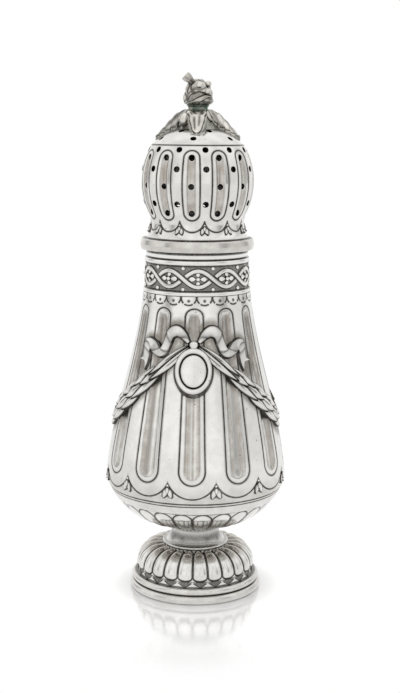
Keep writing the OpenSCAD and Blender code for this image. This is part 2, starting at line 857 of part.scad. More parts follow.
module finial_leaf_left() {
    color(silver) at_azimuth(-90) finial_leaf();
}

module finial_leaf_right() {
    color(silver) at_azimuth(90) finial_leaf();
}

// A small round bud among the leaves, seated on the mound
module finial_side_bud() {
    seat = leaf_line[3];
    color(silver)
        at_azimuth(-44)
            difference() {
                translate([0, -seat[0] - 0.4, seat[1] + 0.6]) sphere(berry_r + 0.2);
                turned(concat([[0, z_crown]], back(leaf_line), [[0, z_mound]]));
            }
}

// The collar that carries the bud
module finial_collar() {
    z0 = z_mound;
    z1 = z_bud - solder;
    color(dull_silver)
        turned(concat(
            [[stud_bore_r, z0], [mound_top_r, z0]],
            cubic([mound_top_r - 0.1, z0 + 0.3], [mound_top_r - 0.6, z0 + 0.9],
                [collar_r - 0.9, z1 - 1], [collar_r, z1 - 0.3], 6),
            [[collar_r - 0.2, z1], [stud_bore_r, z1]]
        ));
}

// Section of the bud from its foot to its tip
bud_line = concat(
    cubic([bud_r - 1.2, z_bud], [bud_r, z_bud + 0.08 * bud_h], [bud_r, z_bud + 0.2 * bud_h],
        [bud_r, z_bud + 0.36 * bud_h], 6),
    [for (i = [1:8]) cubic([bud_r, z_bud + 0.36 * bud_h], [bud_r, z_bud + 0.68 * bud_h],
        [0.6 * bud_r, z_bud + 0.96 * bud_h], [0, z_bud + bud_h], 8)[i]]
);
function bud_at(z) = lookup(z, [for (p = bud_line) [p[1], p[0]]]);

// Place of the stalk's foot and of its knob
stalk_foot = [-1.6, -0.6, z_bud + 0.80 * bud_h];
knob_at = [-4.2, -0.8, z_bud + bud_h + 0.4];

// The bud, with slanting clefts between its folded petals and a socket for the stud
module finial_bud() {
    cleft_r = 0.9;
    socket_l = 0.4 * bud_h;
    color(silver)
        difference() {
            turned(concat([[0, z_bud]], bud_line));
            for (i = [0:petal_count - 1])
                at_azimuth(i * 360 / petal_count + 20)
                    translate([0, -bud_r - 0.3, z_bud + 0.5 * bud_h])
                        rotate([8, 38, 0]) cylinder(r = cleft_r, h = 1.2 * bud_h, center = true);
            translate([0, 0, z_bud - 1]) cylinder(r = stud_bore_r, h = 1 + socket_l);
            stalk_body(solder);
            berry_set(solder);
        }
}

// The short stalk with its knob, grown by a clearance
module stalk_body(grow) {
    lean = knob_at - stalk_foot;
    translate(stalk_foot)
        rotate([0, acos(lean[2] / norm(lean)), atan2(lean[1], lean[0])])
            translate([0, 0, -grow]) cylinder(r = 0.55 * knob_r + grow, h = norm(lean) + grow);
    translate(knob_at) sphere(knob_r + grow);
}

// The berries that show at the open side of the bud, grown by a clearance
module berry_set(grow) {
    for (p = [[8, 0.74], [66, 0.8], [42, 0.48]])
        let (z = z_bud + p[1] * bud_h)
            at_azimuth(p[0]) translate([0, -bud_at(z) - 0.2, z]) sphere(berry_r + grow);
}

module finial_stalk() {
    color(silver) stalk_body(0);
}

module finial_berries() {
    color(silver) berry_set(0);
}

z_washer = z_crown_axis + sqrt((crown_curve - wall) ^ 2 - washer_r ^ 2) - washer_h - solder;

// The stud that draws the finial down on the crown
module finial_stud() {
    end_l = 1.2;
    z0 = z_washer - nut_h - end_l;
    color(dull_silver) translate([0, 0, z0]) cylinder(r = stud_r, h = z_bud + 0.38 * bud_h - z0);
}

module finial_washer() {
    color(dull_silver)
        translate([0, 0, z_washer])
            difference() {
                cylinder(r = washer_r, h = washer_h);
                translate([0, 0, -1]) cylinder(r = stud_bore_r, h = washer_h + 2);
            }
}

module finial_nut() {
    color(dull_silver)
        translate([0, 0, z_washer - nut_h])
            difference() {
                cylinder(r = nut_r, h = nut_h, $fn = 6);
                translate([0, 0, -1]) cylinder(r = stud_bore_r, h = nut_h + 2);
            }
}

foot_rim();
foot_dome();
stem_collar();
lower_bowl();
body_shell();
lower_neck_wire();
neck_frieze();
upper_neck_wire();
mouth_ring();
front_medallion();
back_medallion();
front_knot();
back_knot();
front_ribbon_left();
front_ribbon_right();
back_ribbon_left();
back_ribbon_right();
front_garland_left();
front_garland_right();
back_garland_left();
back_garland_right();
cap_shell();
cap_rim();
cap_sleeve();
finial_mound();
finial_leaf_left();
finial_leaf_right();
finial_leaf_front();
finial_leaf_back();
finial_side_bud();
finial_collar();
finial_bud();
finial_stalk();
finial_berries();
finial_stud();
finial_washer();
finial_nut();
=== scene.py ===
"""Looks of a silver sugar caster: chased shells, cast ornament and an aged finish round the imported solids."""

import logging
import math
from collections.abc import Iterator
from contextlib import contextmanager
from dataclasses import dataclass, field
from enum import Enum

import bmesh
import bpy
import numpy as np
from mathutils import Matrix, Vector


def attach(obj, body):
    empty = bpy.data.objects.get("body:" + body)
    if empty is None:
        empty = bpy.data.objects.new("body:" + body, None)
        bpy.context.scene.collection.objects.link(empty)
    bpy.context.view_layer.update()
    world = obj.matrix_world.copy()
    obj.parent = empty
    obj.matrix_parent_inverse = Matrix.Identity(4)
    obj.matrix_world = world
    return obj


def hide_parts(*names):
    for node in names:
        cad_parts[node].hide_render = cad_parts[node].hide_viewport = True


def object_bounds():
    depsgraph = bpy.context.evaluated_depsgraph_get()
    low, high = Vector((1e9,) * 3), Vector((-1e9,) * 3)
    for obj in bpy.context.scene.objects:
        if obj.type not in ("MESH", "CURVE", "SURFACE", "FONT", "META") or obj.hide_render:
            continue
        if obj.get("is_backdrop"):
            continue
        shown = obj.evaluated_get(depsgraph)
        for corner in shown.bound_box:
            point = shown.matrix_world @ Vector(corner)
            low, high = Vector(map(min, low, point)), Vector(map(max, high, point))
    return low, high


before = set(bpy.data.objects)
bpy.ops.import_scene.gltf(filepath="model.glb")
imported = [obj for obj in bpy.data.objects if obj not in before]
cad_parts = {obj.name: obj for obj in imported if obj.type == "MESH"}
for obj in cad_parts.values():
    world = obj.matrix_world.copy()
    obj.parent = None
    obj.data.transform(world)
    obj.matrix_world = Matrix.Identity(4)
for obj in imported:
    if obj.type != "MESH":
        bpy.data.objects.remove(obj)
CAD_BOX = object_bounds()
LOG = logging.getLogger("sugar_caster")
MM = 0.001
DOUBLE_M = 1e-7  # points that lie nearer than this are one point
FAR_EDGE = 3.0  # millimetres from a chased line at which nothing of it shows
RING_COLUMNS = 240  # points round a polished ring
WHITE = (1.0, 1.0, 1.0, 1.0)
Array = np.ndarray
Mesh = bpy.types.Mesh
Socket = bpy.types.NodeSocket
Color = tuple[float, float, float]
Pairs = tuple[tuple[float, float], ...]


class Slot(Enum):
    """Material slots of the record."""

    POLISHED = "silver_polished"
    CHASED = "silver_chased"
    FRIEZE = "silver_frieze"
    CAST = "silver_cast"
    FINIAL = "silver_finial"
    DULL = "silver_dull"


class Carrier(Enum):
    """Bodies that pieces ride on."""

    VASE = "vase"
    CAP = "cap"


class Side(Enum):
    """Turn of an ornament about the upright axis, in degrees."""

    FRONT = 0.0
    BACK = 180.0


class Value:
    """A number in a node tree, which takes part in plain sums."""

    def __init__(self, graph: "Graph", socket: Socket) -> None:
        """Args: graph: the writer of the tree; socket: the output that gives the number."""
        self.graph = graph
        self.socket = socket

    def __add__(self, other: "Value | float") -> "Value":
        """Returns: the sum."""
        return self.graph.math("ADD", self, other)

    def __sub__(self, other: "Value | float") -> "Value":
        """Returns: the difference."""
        return self.graph.math("SUBTRACT", self, other)

    def __rsub__(self, other: float) -> "Value":
        """Returns: the difference from a plain number."""
        return self.graph.math("SUBTRACT", other, self)

    def __mul__(self, other: "Value | float") -> "Value":
        """Returns: the product."""
        return self.graph.math("MULTIPLY", self, other)

    def __truediv__(self, other: "Value | float") -> "Value":
        """Returns: the quotient."""
        return self.graph.math("DIVIDE", self, other)

    __radd__, __rmul__ = __add__, __mul__


class Graph:
    """A short way to write node trees."""

    def __init__(self, tree: bpy.types.NodeTree) -> None:
        """Args: tree: the node tree to fill; it is emptied first."""
        self.tree = tree
        tree.nodes.clear()

    def add(self, kind: str, inputs: dict | None = None, **settings: object) -> bpy.types.Node:
        """Adds a node.

        Args:
            kind: Blender's name of the node type.
            inputs: what goes into it, by the input's name or number.
            settings: properties of the node.

        Returns:
            The new node.
        """
        node = self.tree.nodes.new(kind)
        for name, value in settings.items():
            setattr(node, name, value)
        for key, value in (inputs or {}).items():
            self.plug(node.inputs[key], value)
        return node

    def plug(self, socket: Socket, value: object) -> None:
        """Links or sets an input.

        Args:
            socket: the input.
            value: a number in the tree, an output or a plain value; a colour may lack its alpha.
        """
        value = value.socket if isinstance(value, Value) else value
        if isinstance(value, Socket):
            self.tree.links.new(value, socket)
        elif socket.type == "RGBA" and len(value) == 3:
            socket.default_value = (*value, 1.0)
        else:
            socket.default_value = value

    def math(self, operation: str, first: object, second: object = 0.0) -> Value:
        """Returns: the result of a math node on two numbers."""
        return Value(self, self.add("ShaderNodeMath", {0: first, 1: second}, operation=operation).outputs[0])

    def ramp(self, value: object, low: object, high: object, start: float, end: float) -> Value:
        """Moves a value smoothly from one span on to another.

        Args:
            value: the value.
            low: start of its span.
            high: end of its span.
            start: start of the new span.
            end: end of the new span.

        Returns:
            The moved value.
        """
        node = self.add(
            "ShaderNodeMapRange",
            {"Value": value, "From Min": low, "From Max": high, "To Min": start, "To Max": end},
            interpolation_type="SMOOTHSTEP",
        )
        return Value(self, node.outputs["Result"])

    def blend(self, amount: object, first: object, second: object) -> Socket:
        """Mixes two colours.

        Args:
            amount: share of the second.
            first: a colour or an output.
            second: a colour or an output.

        Returns:
            The mixed colour.
        """
        return self.add("ShaderNodeMix", {0: amount, 6: first, 7: second}, data_type="RGBA").outputs[2]

    def noise(self, place: Socket, scale: float, detail: float = 4.0) -> Value:
        """Returns: the strength of a noise pattern with scale features to the metre."""
        inputs = {"Vector": place, "Scale": scale, "Detail": detail, "Roughness": 0.6}
        return Value(self, self.add("ShaderNodeTexNoise", inputs).outputs[0])

    def mark(self, name: str) -> Value:
        """Returns: a number kept on the points of the piece."""
        return Value(self, self.add("ShaderNodeAttribute", attribute_name=name).outputs["Fac"])


def placed(name: str, data: bpy.types.ID) -> bpy.types.Object:
    """Puts a new object into the scene.

    Args:
        name: its name.
        data: its mesh, lamp or camera.

    Returns:
        The object.
    """
    thing = bpy.data.objects.new(name, data)
    bpy.context.scene.collection.objects.link(thing)
    return thing


def keep(mesh: Mesh, key: str, values: Array) -> None:
    """Keeps a number or a vector on each point of a mesh.

    Args:
        mesh: the mesh.
        key: the name to keep them under.
        values: a row of numbers, or three columns for vectors.
    """
    kind, part = ("FLOAT", "value") if values.ndim == 1 else ("FLOAT_VECTOR", "vector")
    layer = mesh.attributes.new(key, kind, "POINT")
    layer.data.foreach_set(part, np.ascontiguousarray(values, dtype=np.float32).reshape(-1))


def evaluated(thing: bpy.types.Object, name: str) -> Mesh:
    """Makes a plain mesh of what an object's modifiers give.

    Args:
        thing: the object.
        name: name of the new mesh.

    Returns:
        The mesh, with its marks.
    """
    depsgraph = bpy.context.evaluated_depsgraph_get()
    mesh = bpy.data.meshes.new_from_object(
        thing.evaluated_get(depsgraph), preserve_all_data_layers=True, depsgraph=depsgraph
    )
    mesh.name = name
    return mesh


class NodeTool:
    """A tree of geometry nodes with named inputs, which is run on a host mesh."""

    def __init__(self, name: str, inputs: dict[str, str]) -> None:
        """Opens the tree.

        Args:
            name: name of the tree.
            inputs: kinds of its inputs by name; the first is the host's geometry.
        """
        self.tree = bpy.data.node_groups.new(name, "GeometryNodeTree")
        self.sockets = {
            key: self.tree.interface.new_socket(key, in_out="INPUT", socket_type=kind).identifier
            for key, kind in inputs.items()
        }
        self.tree.interface.new_socket("Result", in_out="OUTPUT", socket_type="NodeSocketGeometry")
        self.graph = Graph(self.tree)
        self.given = self.graph.add("NodeGroupInput").outputs

    def kept(self, name: str, kind: str = "FLOAT") -> Value:
        """Returns: a number or vector kept on the points of the host."""
        node = self.graph.add("GeometryNodeInputNamedAttribute", {"Name": name}, data_type=kind)
        return Value(self.graph, node.outputs["Attribute"])

    def close(self, geometry: Socket) -> None:
        """Ends the tree with what it has made, as plain geometry."""
        real = self.graph.add("GeometryNodeRealizeInstances", {"Geometry": geometry})
        self.graph.add("NodeGroupOutput", {"Result": real.outputs["Geometry"]})

    def run(self, name: str, host_mesh: Mesh, values: dict[str, object]) -> Mesh:
        """Runs the tree.

        Args:
            name: name of the new mesh.
            host_mesh: the mesh to run it on, which is used up.
            values: values of the other inputs by name.

        Returns:
            The result as a plain mesh.
        """
        host = placed(name + "_host", host_mesh)
        modifier = host.modifiers.new("tool", "NODES")
        modifier.node_group = self.tree
        for key, value in values.items():
            modifier[self.sockets[key]] = value
        mesh = evaluated(host, name)
        host.modifiers.remove(modifier)
        bpy.data.objects.remove(host)
        bpy.data.meshes.remove(host_mesh)
        return mesh


class MotifSetter(NodeTool):
    """Sets a small shape on many points, each with its own turn and size."""

    def __init__(self) -> None:
        """Builds the tree."""
        super().__init__("motifs_on_points", {"Places": "NodeSocketGeometry", "Motif": "NodeSocketObject"})
        graph = self.graph
        shape = graph.add("GeometryNodeObjectInfo", {"Object": self.given["Motif"]}, transform_space="ORIGINAL")
        spin = graph.add("ShaderNodeCombineXYZ", {"Z": self.kept("turn")})
        inputs = {
            "Points": self.given["Places"],
            "Instance": shape.outputs["Geometry"],
            "Rotation": spin.outputs["Vector"],
            "Scale": self.kept("size", "FLOAT_VECTOR"),
        }
        self.close(graph.add("GeometryNodeInstanceOnPoints", inputs).outputs["Instances"])


class GadroonRaiser(NodeTool):
    """Raises even gadroons with round feet on a turned sheet, and draws the lines between them."""

    def __init__(self) -> None:
        """Builds the tree; its lengths are millimetres and its turns degrees."""
        kinds = {"Sheet": "NodeSocketGeometry"}
        names = ("Gadroons", "First Turn", "Depth", "Start", "Round Foot", "End")
        kinds.update({name: "NodeSocketFloat" for name in names})
        super().__init__("gadroons_on_sheet", kinds)
        graph = self.graph
        count, first, depth, start, foot, end = (Value(graph, self.given[name]) for name in names)
        along, reach = self.kept("along"), self.kept("reach")
        step = graph.math("DIVIDE", 360.0, count)
        half_step = step * 0.5
        turn = graph.math("FLOORED_MODULO", self.kept("azimuth") - first + half_step, step) - half_step
        across = graph.math("RADIANS", turn) * reach
        half = graph.math("RADIANS", half_step) * reach
        rounded = graph.math("MINIMUM", along - (start + foot), 0.0) * half / foot
        inside = graph.math("SQRT", across * across + rounded * rounded) - (half - 0.12)
        share = Value(graph, graph.add("ShaderNodeClamp", {"Value": inside * -1.0 / half}).outputs[0])
        groove = graph.math("POWER", 1.0 - share, 2.2)
        fade = graph.ramp(along, end - 0.7, end - 0.1, 0.0, 1.0)
        lift = groove * (depth * (fade - 1.0) * graph.math("GREATER_THAN", along, start))
        inputs = {0: self.kept("push", "FLOAT_VECTOR"), "Scale": lift}
        offset = graph.add("ShaderNodeVectorMath", inputs, operation="SCALE").outputs["Vector"]
        raised = graph.add("GeometryNodeSetPosition", {"Geometry": self.given["Sheet"], "Offset": offset})
        border = graph.math("LESS_THAN", along, start - 0.3)
        drawn = inside * (1.0 - border) + self.kept("edge") * border + fade * 2.0
        drawn = graph.math("MINIMUM", graph.math("MAXIMUM", drawn, -FAR_EDGE), FAR_EDGE)
        inputs = {"Geometry": raised.outputs["Geometry"], "Name": "edge", "Value": drawn}
        marked = graph.add("GeometryNodeStoreNamedAttribute", inputs, data_type="FLOAT", domain="POINT")
        self.close(marked.outputs["Geometry"])


@dataclass(frozen=True)
class SilverFinish:
    """Aged silver: bright high parts, dark oxide in lines and grounds, brown tarnish in hollows, and painted shade in
    the same dark and brown colours.
    """

    name: str
    bright: Color = (0.80, 0.795, 0.775)
    veiled: Color = (0.645, 0.64, 0.62)
    tarnish: Color = (0.41, 0.375, 0.335)
    oxide: Color = (0.026, 0.022, 0.018)
    verdigris: Color = (0.13, 0.20, 0.155)
    roughness: float = 0.13
    veil: float = 0.7
    line_mm: float = 0.42
    green: float = 0.0
    marked: bool = True

    def build(self) -> bpy.types.Material:
        """Makes the material of procedural nodes.

        Returns:
            The material.
        """
        material = bpy.data.materials.new(self.name)
        material.use_nodes = True
        graph = Graph(material.node_tree)
        place = graph.add("ShaderNodeTexCoord").outputs["Object"]
        broad = graph.noise(place, 55.0, 3.0)
        cloud = graph.noise(place, 260.0, 5.0)
        grain = graph.noise(place, 1500.0, 4.0)
        edge = (graph.mark("edge") if self.marked else FAR_EDGE) + (grain - 0.5) * 0.16
        edge = graph.math("ABSOLUTE", edge)
        line = graph.ramp(edge, 0.48 * self.line_mm, self.line_mm, 1.0, 0.0)
        line = line * graph.ramp(cloud, 0.25, 0.60, 0.84, 1.0)
        stipple = graph.add("ShaderNodeTexVoronoi", {"Vector": place, "Scale": 1700.0}).outputs["Distance"]
        ground = graph.mark("ground") if self.marked else 0.0
        ground = ground * graph.ramp(stipple, 0.15, 0.65, 1.0, 0.86)
        brown = graph.mark("tarnish") if self.marked else 0.35
        brown = brown * graph.ramp(cloud, 0.30, 0.66, 0.62, 1.0)
        # Painted shade: a brown fringe beside every chased line stands for the shade and dark reflection in its groove.
        brown = graph.math("MAXIMUM", brown, graph.ramp(edge, 0.7 * self.line_mm, 2.4 * self.line_mm, 0.42, 0.0))
        specks = graph.add("ShaderNodeTexVoronoi", {"Vector": place, "Scale": 300.0}).outputs["Distance"]
        pitted = graph.math("MAXIMUM", graph.ramp(broad, 0.44, 0.56, 0.0, 0.9), brown * 0.6)
        pits = graph.ramp(specks, 0.04, 0.09, 1.0, 0.0) * pitted
        haze = graph.ramp(broad, 0.35, 0.68, 0.0, 0.7) + graph.ramp(cloud, 0.38, 0.66, 0.0, 0.4)
        color = graph.blend(haze * self.veil, self.bright, self.veiled)
        color = graph.blend(brown, color, self.tarnish)
        if self.green:
            mould = graph.mark("green") * graph.ramp(cloud, 0.35, 0.60, 0.25, 1.0)
            color = graph.blend(mould * self.green, color, self.verdigris)
        dark = graph.math("MAXIMUM", graph.math("MAXIMUM", line, ground), pits)
        # Lines, grounds and pits take the dark oxide colour, which also paints the shade that pieces mark in their
        # ground.
        color = graph.blend(dark * 0.94, color, self.oxide)
        rough = graph.ramp(cloud, 0.30, 0.70, -0.04, 0.07) + self.roughness
        rough = rough + graph.math("MAXIMUM", dark, brown) * 0.12
        relief = grain * 0.025 - line * 0.75 + broad * 1.1
        bump = graph.add("ShaderNodeBump", {"Strength": 0.5, "Distance": 0.00018, "Height": relief})
        shader = graph.add(
            "ShaderNodeBsdfPrincipled",
            {"Base Color": color, "Metallic": 1.0, "Roughness": rough, "Normal": bump.outputs["Normal"]},
        )
        graph.add("ShaderNodeOutputMaterial", {"Surface": shader.outputs["BSDF"]})
        return material


class Finishes:
    """The caster's finishes, one material for each slot of the record."""

    def __init__(self) -> None:
        """Builds the materials."""
        styles = {
            Slot.POLISHED: SilverFinish("polished_silver", roughness=0.14, veil=0.4),
            Slot.CHASED: SilverFinish("chased_silver"),
            Slot.FRIEZE: SilverFinish("frieze_silver", line_mm=0.30),
            Slot.CAST: SilverFinish("cast_silver", roughness=0.24),
            Slot.FINIAL: SilverFinish(
                "finial_silver",
                bright=(0.78, 0.76, 0.71),
                veiled=(0.38, 0.36, 0.32),
                tarnish=(0.20, 0.178, 0.148),
                roughness=0.19,
                veil=0.85,
                line_mm=0.36,
                green=0.9,
            ),
            Slot.DULL: SilverFinish(
                "dull_silver",
                bright=(0.62, 0.60, 0.57),
                veiled=(0.48, 0.46, 0.43),
                roughness=0.42,
                marked=False,
            ),
        }
        self._materials = {slot: style.build() for slot, style in styles.items()}

    def of(self, slot: Slot) -> bpy.types.Material:
        """Returns: the material of a slot."""
        return self._materials[slot]


def smooth(value: Array, low: float, high: float) -> Array:
    """Returns: 0 below low, 1 above high and an even rise between."""
    share = np.clip((value - low) / (high - low), 0.0, 1.0)
    return share * share * (3.0 - 2.0 * share)


def hump(offset: Array, width: float | Array) -> Array:
    """Returns: 1 where the offset is 0, with a round fall to nothing beyond the width."""
    return np.exp(-((offset / width) ** 2))


def spans(*stretches: tuple[float, float, int]) -> Array:
    """Spaces numbers along stretches that follow each other.

    Args:
        stretches: start, end and count of each; each starts where the one before it ends.

    Returns:
        All the numbers, with a shared end only once.
    """
    first, *others = (np.linspace(*stretch) for stretch in stretches)
    return np.concatenate([first, *(other[1:] for other in others)])


def ring_turns(columns: int) -> Array:
    """Returns: even turns round a ring, in radians."""
    return np.linspace(0.0, 2 * np.pi, columns, endpoint=False)


def round_axis(out: Array, turn: Array, up: Array) -> Array:
    """Returns: points in metres, at radii and heights in millimetres and turns in radians from the front."""
    return np.stack(np.broadcast_arrays(out * np.sin(turn), -out * np.cos(turn), up), axis=-1) * MM


def cubic(points: list[tuple[float, float]], steps: int) -> Array:
    """Draws a cubic curve.

    Args:
        points: its four control points.
        steps: number of steps along it.

    Returns:
        The steps + 1 points.
    """
    a, b, c, d = (np.array(point, dtype=float) for point in points)
    t = np.linspace(0.0, 1.0, steps + 1)[:, None]
    s = 1.0 - t
    return s**3 * a + 3 * s**2 * t * b + 3 * s * t**2 * c + t**3 * d


def arc(centre: tuple[float, float], radius: float, start: float, end: float, steps: int) -> Array:
    """Returns: steps + 1 points along an arc, with its angles in degrees."""
    angle = np.radians(np.linspace(start, end, steps + 1))
    return np.stack([centre[0] + radius * np.cos(angle), centre[1] + radius * np.sin(angle)], axis=1)


def through(points: Array, steps: int) -> Array:
    """Draws a smooth line through points.

    Args:
        points: the points.
        steps: number of steps from each one to the next.

    Returns:
        The points of the line.
    """
    ends = np.vstack([points[:1], points, points[-1:]])
    out = []
    for a, b, c, d in zip(ends[:-3], ends[1:-2], ends[2:-1], ends[3:]):
        t = np.linspace(0.0, 1.0, steps, endpoint=False)[:, None]
        out.append(b + 0.5 * t * (c - a + t * (2 * a - 5 * b + 4 * c - d + t * (3 * b - 3 * c + d - a))))
    return np.vstack(out + [points[-1:]])


def fold(azimuth: Array, count: int, turn: float = 0.0) -> Array:
    """Returns: azimuths in degrees, counted from the nearest of count even places."""
    step = 360.0 / count
    return (azimuth - turn + step / 2) % step - step / 2


def join_edges(*edges: Array) -> Array:
    """Joins distances to several lines.

    Args:
        edges: the distances, negative inside each line.

    Returns:
        The distance to the nearest, which changes sign across each of them.
    """
    lines = np.stack(np.broadcast_arrays(*edges))
    size = np.min(np.abs(lines), axis=0)
    sign = np.prod(np.where(lines < 0, -1.0, 1.0), axis=0)
    return np.clip(size * sign, -FAR_EDGE, FAR_EDGE)


def flute_edge(
    across: Array, rise: Array, low: tuple[float, float], high: tuple[float, float]
) -> Array:
    """Distance to the outline of a flute with round ends, negative inside.

    Args:
        across: distance from the flute's middle line.
        rise: place along the flute.
        low: place and half width of the lower end.
        high: place and half width of the upper end.

    Returns:
        The distance in the same unit.
    """
    start, end = low[0] + low[1], high[0] - high[1]
    share = np.clip((rise - start) / (end - start), 0.0, 1.0)
    half = low[1] + (high[1] - low[1]) * share
    return np.hypot(across, rise - np.clip(rise, start, end)) - half


@dataclass
class Marks:
    """Numbers kept on the points of a piece, which its finish reads."""

    edge: Array | float = FAR_EDGE
    tarnish: Array | float = 0.0
    # ground: dark oxide of chased grounds, which many pieces also use for painted shade and shadow
    ground: Array | float = 0.0
    green: Array | float = 0.0


class TurnedSurface:
    """A surface turned round the upright axis, addressed by azimuth and by length along its section."""

    def __init__(self, section: Array) -> None:
        """Measures the section.

        Args:
            section: radius and height of points along it, in millimetres, rising on the outside.
        """
        self.section = section
        steps = np.hypot(*np.diff(section, axis=0).T)
        self.length = np.concatenate([[0.0], np.cumsum(steps)])
        tangent = np.gradient(section, self.length, axis=0)
        tangent /= np.linalg.norm(tangent, axis=1)[:, None]
        self.normal = np.stack([tangent[:, 1], -tangent[:, 0]], axis=1)

    def radius(self, along: Array) -> Array:
        """Returns: the radius at places along the section."""
        return np.interp(along, self.length, self.section[:, 0])

    def rise(self, along: Array) -> Array:
        """Returns: the height at places along the section."""
        return np.interp(along, self.length, self.section[:, 1])

    def along(self, rise: float | Array) -> Array:
        """Returns: the place along a rising section at a height."""
        return np.interp(rise, self.section[:, 1], self.length)

    def place(self, azimuth: Array, along: Array, lift: Array) -> Array:
        """Points off the surface.

        Args:
            azimuth: degrees from the front.
            along: places along the section, in millimetres.
            lift: distance off the surface, in millimetres.

        Returns:
            Points in metres.
        """
        out = self.radius(along) + lift * np.interp(along, self.length, self.normal[:, 0])
        up = self.rise(along) + lift * np.interp(along, self.length, self.normal[:, 1])
        return round_axis(out, np.radians(azimuth), up)


@contextmanager
def reworked(mesh: Mesh) -> Iterator[bmesh.types.BMesh]:
    """Opens a mesh for rework and puts the result back.

    Args:
        mesh: the mesh.

    Yields:
        Its points, edges and faces.
    """
    work = bmesh.new()
    work.from_mesh(mesh)
    yield work
    work.to_mesh(mesh)
    work.free()


class Workshop:
    """Makes meshes into pieces that ride on the caster's bodies."""

    def __init__(self, finishes: Finishes) -> None:
        """Args: finishes: the materials of the slots."""
        self.finishes = finishes
        self._setter = MotifSetter()

    def mesh(self, name: str, points: Array, faces: Array | list, marks: Marks) -> Mesh:
        """Makes a mesh with the marks that the finishes read.

        Args:
            name: name of the mesh.
            points: its points, in metres.
            faces: its faces, as numbers of points.
            marks: the marks, one number for all points or one for each.

        Returns:
            The mesh, with doubled points still in place.
        """
        mesh = bpy.data.meshes.new(name)
        points = points.reshape(-1, 3)
        mesh.from_pydata(points.tolist(), [], faces if isinstance(faces, list) else faces.tolist())
        for key, values in vars(marks).items():
            keep(mesh, key, np.broadcast_to(np.asarray(values, dtype=float).reshape(-1), len(points)))
        return mesh

    def finish(
        self, mesh: Mesh, carrier: Carrier, slot: Slot, nodes: tuple[str, ...], crease: float = 38.0
    ) -> None:
        """Makes a mesh a piece of the caster.

        Args:
            mesh: the mesh, in metres and in place.
            carrier: the body that it rides on.
            slot: the slot of its finish.
            nodes: the solids that it stands for.
            crease: the angle from which an edge stays sharp, in degrees.
        """
        with reworked(mesh) as work:
            bmesh.ops.remove_doubles(work, verts=work.verts, dist=DOUBLE_M)
            bmesh.ops.dissolve_degenerate(work, dist=DOUBLE_M / 10, edges=work.edges)
        mesh.materials.clear()
        mesh.materials.append(self.finishes.of(slot))
        mesh.shade_smooth()
        mesh.set_sharp_from_angle(angle=math.radians(crease))
        piece = placed(mesh.name, mesh)
        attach(piece, carrier.value)
        if nodes:
            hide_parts(*nodes)
        mesh.calc_loop_triangles()
        LOG.info("%s: %d triangles", mesh.name, len(mesh.loop_triangles))

    def dress(self, node: str, slot: Slot) -> None:
        """Gives a solid that stays in sight its finish.

        Args:
            node: name of the solid.
            slot: the slot of the finish.
        """
        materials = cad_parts[node].data.materials
        materials.clear()
        materials.append(self.finishes.of(slot))
        LOG.info("%s: stays as the solid", node)

    def turned(self, name: str, section: Array, columns: int, marks: Marks) -> Mesh:
        """Makes a plain turned ring from a closed section.

        Args:
            name: name of the mesh.
            section: radius and height round the section, counter-clockwise, in millimetres.
            columns: number of points round the axis.
            marks: marks, one number for all points of the section or one for each.

        Returns:
            The mesh.
        """
        turn = ring_turns(columns)
        points = round_axis(section[:, :1], turn, section[:, 1:])
        wide = {
            key: np.repeat(np.broadcast_to(np.asarray(value, dtype=float), len(section)), columns)
            for key, value in vars(marks).items()
        }
        return self.mesh(name, points, self.ring_faces(len(section), columns, True), Marks(**wide))

    @staticmethod
    def ring_faces(rings: int, columns: int, closed: bool) -> Array:
        """Numbers the quads between rings of points.

        Args:
            rings: number of rings.
            columns: number of points in each.
            closed: whether the last ring meets the first.

        Returns:
            Four numbers of points for each quad.
        """
        row = np.arange(rings if closed else rings - 1)[:, None]
        column = np.arange(columns)[None, :]
        after, above = (column + 1) % columns, (row + 1) % rings
        corners = (row * columns + column, row * columns + after, above * columns + after, above * columns + column)
        return np.stack(np.broadcast_arrays(*corners), axis=-1).reshape(-1, 4)

    def scatter(self, name: str, motif: Mesh, surface: TurnedSurface, places: dict[str, Array]) -> Mesh:
        """Sets a motif on many places of a turned surface.

        Args:
            name: name of the new mesh.
            motif: a small mesh in millimetres: X along, Y across to its left, Z off the surface.
            surface: the surface to lay it on.
            places: azimuth, along, lift and turn of each place, and size as three factors.

        Returns:
            One mesh with all the motifs bent to the surface.
        """
        seeds = bpy.data.meshes.new(name + "_places")
        seeds.from_pydata([(0.0, 0.0, 0.0)] * len(places["azimuth"]), [], [])
        for key, values in places.items():
            keep(seeds, key, values)
        shape = placed(name + "_motif", motif)
        mesh = self._setter.run(name, seeds, {"Motif": shape})
        bpy.data.objects.remove(shape)
        self._lay(mesh, surface)
        return mesh

    @staticmethod
    def _lay(mesh: Mesh, surface: TurnedSurface) -> None:
        """Bends flat motifs on to a surface, each from its own middle.

        Args:
            mesh: the motifs, with their places kept on their points.
            surface: the surface.
        """
        count = len(mesh.vertices)
        local = np.empty(count * 3, dtype=np.float32)
        mesh.vertices.foreach_get("co", local)
        local = local.reshape(-1, 3).astype(float)
        kept = {}
        for key in ("azimuth", "along", "lift"):
            values = np.empty(count, dtype=np.float32)
            mesh.attributes[key].data.foreach_get("value", values)
            kept[key] = values.astype(float)
        along = kept["along"] + local[:, 1]
        azimuth = kept["azimuth"] + np.degrees(local[:, 0] / np.maximum(surface.radius(along), 1.0))
        points = surface.place(azimuth, along, kept["lift"] + local[:, 2])
        mesh.vertices.foreach_set("co", points.reshape(-1).astype(np.float32))
        for key in ("azimuth", "along", "lift", "turn", "size"):
            if key in mesh.attributes:
                mesh.attributes.remove(mesh.attributes[key])
        mesh.update()

    @staticmethod
    def merged(name: str, meshes: list[Mesh]) -> Mesh:
        """Joins meshes.

        Args:
            name: name of the new mesh.
            meshes: the meshes, which are used up.

        Returns:
            One mesh with the faces and marks of all.
        """
        work = bmesh.new()
        for mesh in meshes:
            work.from_mesh(mesh)
            bpy.data.meshes.remove(mesh)
        out = bpy.data.meshes.new(name)
        work.to_mesh(out)
        work.free()
        return out

